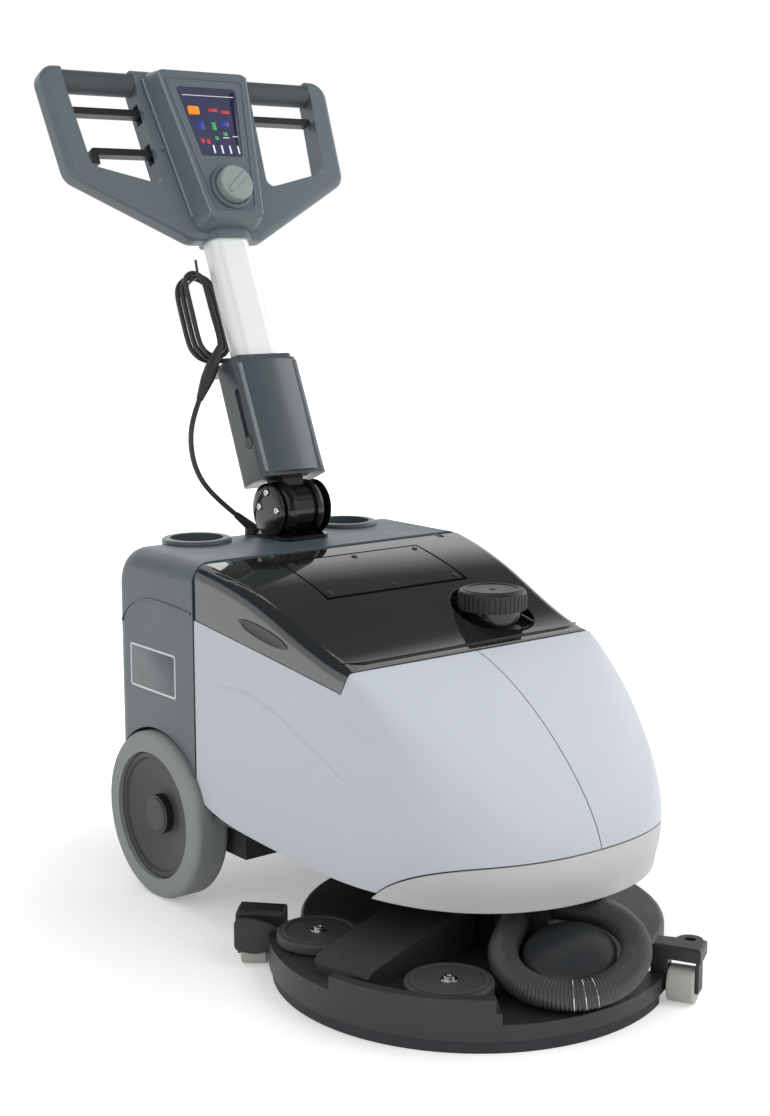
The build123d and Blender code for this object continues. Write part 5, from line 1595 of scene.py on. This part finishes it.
    def build_cap_trim(self) -> None:
        """A raised ring and a small button on top of the filler cap."""
        _, high = span("fill_cap", FLOOR)
        place = FLOOR @ Matrix.Translation((*self.cap_spot, high.z))
        outer, inner = self.cap_ring_outer, self.cap_ring_inner
        button = disc_profile(self.cap_button_radius, 0.4, self.cap_button_rise, ease=0.8, fall=0.4)
        ring = ring_profile(outer, inner, 0.4, self.cap_ring_rise, ease=0.8, fall=0.4)
        blank = Blank()
        blank.lathe(place, button, steps=24)
        blank.lathe(place, ring, steps=64)
        blank.finish("cap_top_ring", Finishes.BLACK, Body.CAP)

    def dress(self) -> None:
        """Finish the body's CAD nodes."""
        dress(Finishes.HOUSING_SLATE, "rear_housing")
        dress(Finishes.LIGHT_SHELL, "right_shell", "left_shell")
        dress(Finishes.BAND, "nose_band")
        dress(Finishes.LID, "tank_lid", "lid_panel")
        dress(Finishes.DEEP_SLATE, "cup_trays")
        dress(Finishes.BLACK, "fill_cap", "panel_screws")
        dress(Finishes.GLOSS_BLACK, "filler_neck")
        dress(Finishes.STEEL, "lid_hinge_pins")


@dataclass
class Mast:
    """The folding mast from the knuckle to the tube."""

    cheek_radius: float = 33.0
    cheek_rise: float = 3.4
    cheek_sink: float = 1.0
    cheek_edge: float = 0.2
    cheek_curve: tuple[tuple[float, float], ...] = ((31.5, 0.4), (28.0, 0.72), (21.0, 0.93), (0.0, 1.0))
    cheek_bolts: tuple[tuple[float, float], ...] = ((2.1, 469.3), (17.3, 450.6), (-19.0, 449.4))
    bolt_radius: float = 4.2
    bolt_sink: float = 2.0
    bolt_rise: float = 2.4
    bolt_edge: float = 0.8
    bolt_socket: float = 1.0
    bolt_seat: float = 0.4
    cover_half: float = 40.0
    cover_start: float = 40.0
    cover_end: float = 183.0
    cover_seat: float = 24.6
    cover_rise: float = 6.0
    cover_wall: float = 4.0
    strip_radius: float = 2.6
    strip_out: float = 0.6
    strip_inset: float = 2.0

    def build(self) -> None:
        """Round off the knuckle's cheeks, set bright bolts on them and the bowed cover on the sleeve."""
        self.build_cheeks()
        self.build_bolts()
        self.build_cover()

    def build_cheeks(self) -> None:
        """A polished dome on the outer side of each cheek."""
        low, high = span("knuckle_base", FLOOR)
        edge = self.cheek_radius
        foot = [(0.0, -self.cheek_sink), (edge, -self.cheek_sink), (edge, self.cheek_edge)]
        curve = [(radius, self.cheek_rise * share) for radius, share in self.cheek_curve]
        for (side, sign), face in zip(SIDES, (low.x, high.x)):
            blank = Blank()
            place = facing(FLOOR, (face, *MAST_PIVOT[1:]), (sign, 0, 0), (0, 0, 1))
            blank.lathe(place, foot + curve, steps=64)
            blank.finish(side + "_cheek_dome", Finishes.GLOSS_BLACK, Body.CHASSIS, sharp=50.0)

    def build_bolts(self) -> None:
        """Socket bolts on both cheeks of the knuckle."""
        low, high = span("knuckle_base", FLOOR)
        radius, rise, sink = self.bolt_radius, self.bolt_rise, self.bolt_sink
        edge, socket = self.bolt_edge, self.bolt_socket
        head = ((0.0, -sink), (radius, -sink), (radius, rise - edge), (radius - edge, rise),
                (radius * 0.55, rise), (radius * 0.5, socket), (0.0, socket))
        seat = self.cheek_rise - self.bolt_seat
        cheeks = Blank()
        for (_, sign), face in zip(SIDES, (low.x, high.x)):
            for y, z in self.cheek_bolts:
                place = facing(FLOOR, (face + sign * seat, y, z), (sign, 0, 0), (0, 0, 1))
                cheeks.lathe(place, head, steps=24)
        cheeks.finish("knuckle_bolts", Finishes.BRIGHT, Body.CHASSIS)

    def build_cover(self) -> None:
        """The sleeve's bowed front cover and the smooth strip along each of its sides, in a lighter slate as
        a painted highlight.
        """
        length = self.cover_end - self.cover_start
        cover = Blank()
        place = MAST @ Matrix.Translation((0.0, self.cover_start, self.cover_seat))
        cover.bowed(place, self.cover_half, length, self.cover_rise, self.cover_wall)
        cover.finish("sleeve_cover", Finishes.SATIN_SLATE, Body.MAST)
        ends = (self.cover_start + self.strip_inset, self.cover_end - self.strip_inset)
        for side, sign in SIDES:
            across = sign * (self.cover_half + self.strip_out)
            line = [on_mast(across, along, self.cover_seat) for along in ends]
            # The strip's lighter slate is a painted highlight along the sleeve's rounded edge.
            bead(side + "_sleeve_strip", line, self.strip_radius, Finishes.RIDGE_HIGHLIGHT, Body.MAST)

    def dress(self) -> None:
        """Finish the mast's CAD nodes."""
        dress(Finishes.GLOSS_BLACK, "knuckle_base", "knuckle_head", "knuckle_pin")
        dress(Finishes.SLEEVE, "mast_sleeve")
        dress(Finishes.BLACK, "lock_button")
        dress(Finishes.TUBE, "mast_tube")


@dataclass
class ControlHandle:
    """The handle with its two hand loops, levers, display, key and dial."""

    face: float = 40.0
    face_low: tuple[float, float] = (38.0, 366.0)
    face_high: tuple[float, float] = (66.0, 559.0)
    rim_inset: float = 8.0
    rim_width: float = 2.4
    rim_rise: float = 1.4
    rim_sink: float = 0.2
    rim_edge: float = 0.6
    rim_corner: float = 8.0
    ridges: tuple[tuple[tuple[float, float, float], ...], ...] = (
        ((64.4, 556.0, 39.2), (38.0, 369.0, 39.0)),
        ((73.6, 558.0, 17.0), (50.0, 374.0, 15.6)),
    )
    ridge_radius: float = 1.8
    sign_rise: float = 0.25
    sign_edge: float = 0.1
    bars: int = 4
    bar_first: float = -10.0
    bar_pitch: float = 12.0
    strip_outline: tuple[tuple[float, float], ...] = (
        (23.0, 449.0), (28.5, 449.0), (40.5, 533.0), (33.0, 533.0))
    strip_rise: float = 0.2
    strip_edge: float = 0.08
    dial_along: float = 404.0
    dial_turn: float = 40.0
    pointer_half_length: float = 19.0
    pointer_half_width: float = 3.6
    pointer_rise: float = 3.0
    pointer_sink: float = 0.4
    pointer_edge: float = 1.2
    pointer_corner: float = 3.0

    def build(self) -> None:
        """Make the console's ridges and rim, the generic signs on the display, and the dial's ridge."""
        self.build_rims()
        self.build_signs()
        self.build_dial()

    def build_rims(self) -> None:
        """Two smooth ridges down each flank of the console, in a lighter slate as a painted highlight, and a
        low rim inside the edge of its face.
        """
        for side, sign in SIDES:
            for k, ends in enumerate(self.ridges):
                line = [on_mast(sign * across, along, out) for across, along, out in ends]
                # Lighter slate on each ridge: a painted highlight.
                bead(f"{side}_console_ridge_{k}", line, self.ridge_radius, Finishes.RIDGE_HIGHLIGHT, Body.HANDLE)
        (low_half, low), (high_half, high) = self.face_low, self.face_high
        inset = self.rim_inset
        outline = ((inset - low_half, low + inset), (low_half - inset, low + inset),
                   (high_half - inset, high - inset), (inset - high_half, high - inset))
        blank = Blank()
        blank.rim(MAST @ Matrix.Translation((0.0, 0.0, self.face - self.rim_sink)), outline, self.rim_width,
                  self.rim_rise, self.rim_edge, self.rim_corner)
        blank.finish("console_rim", Finishes.SLATE, Body.HANDLE)

    def build_signs(self) -> None:
        """Plain bars and patches on the display, each given as (across, along, width, length) on the mast."""
        bars = [(self.bar_first + self.bar_pitch * k, 455.0, 2.4, 11.0) for k in range(self.bars)]
        signs = (
            ("display_white_signs", Finishes.WHITE_PRINT, [
                *bars, (0.0, 527.0, 76.0, 0.9), (12.0, 471.0, 9.0, 1.2), (26.0, 473.0, 8.0, 1.2)]),
            ("display_red_signs", Finishes.RED_PRINT, [
                (2.0, 508.0, 13.0, 5.0), (20.0, 506.0, 12.0, 5.0),
                (-24.0, 466.0, 5.0, 7.0), (-16.0, 465.0, 5.0, 7.0)]),
            ("display_green_signs", Finishes.GREEN_PRINT, [
                (-2.0, 486.0, 6.0, 11.0), (12.0, 476.0, 6.0, 5.0), (-2.0, 470.0, 5.0, 5.0)]),
            ("display_blue_signs", Finishes.BLUE_PRINT, [
                (-22.0, 487.0, 12.0, 13.0), (14.0, 490.0, 14.0, 9.0)]),
        )
        for name, finish, boxes in signs:
            blank = Blank()
            for across, along, width, length in boxes:
                place = MAST @ Matrix.Translation((across, along, self.face))
                blank.plate(place, oblong(width / 2, length / 2), self.sign_rise, self.sign_edge)
            blank.finish(name, finish, Body.HANDLE)
        strip = Blank()
        place = MAST @ Matrix.Translation((0.0, 0.0, self.face))
        strip.plate(place, self.strip_outline, self.strip_rise, self.strip_edge)
        strip.finish("display_strip", Finishes.NAVY, Body.HANDLE)

    def build_dial(self) -> None:
        """A raised ridge across the dial."""
        _, high = span("speed_dial", MAST)
        top = MAST @ Matrix.Translation((0.0, self.dial_along, high.z - self.pointer_sink))
        place = top @ Matrix.Rotation(math.radians(self.dial_turn), 4, "Z")
        outline = oblong(self.pointer_half_length, self.pointer_half_width)
        blank = Blank()
        blank.plate(place, outline, self.pointer_rise, self.pointer_edge, self.pointer_corner)
        blank.finish("dial_ridge", Finishes.DIAL, Body.DIAL)

    def dress(self) -> None:
        """Finish the handle's CAD nodes."""
        dress(Finishes.SLATE, "handle_frame", "console_cover")
        dress(Finishes.GRIP, "grips")
        dress(Finishes.BLACK, "right_lever", "left_lever", "release_lever")
        dress(Finishes.STEEL, "lever_pins")
        dress(Finishes.GLASS, "display_window")
        dress(Finishes.KEY, "start_key")
        dress(Finishes.DIAL, "speed_dial")


class InnerWorks:
    """What the shells cover: chassis, slewing ring, tanks, batteries and vacuum motor."""

    def dress(self) -> None:
        """Finish the inner CAD nodes."""
        dress(Finishes.CHASSIS, "chassis_plate", "axle_carrier")
        dress(Finishes.STEEL, "slewing_ring")
        dress(Finishes.TANK, "solution_tank", "recovery_tank")
        dress(Finishes.BATTERY, "batteries")
        dress(Finishes.MOTOR, "vacuum_motor")


def main() -> None:
    """Build every sub-assembly in order."""
    logging.basicConfig(level=logging.INFO, format="%(name)s %(message)s")
    Studio().build()
    for kind in (ChargingLead, SuctionHose, BrushDeck, RearWheels, TankBody, Mast, ControlHandle):
        log.info("building %s", kind.__name__)
        assembly = kind()
        assembly.build()
        assembly.dress()
    InnerWorks().dress()


if __name__ == "__main__":
    main()
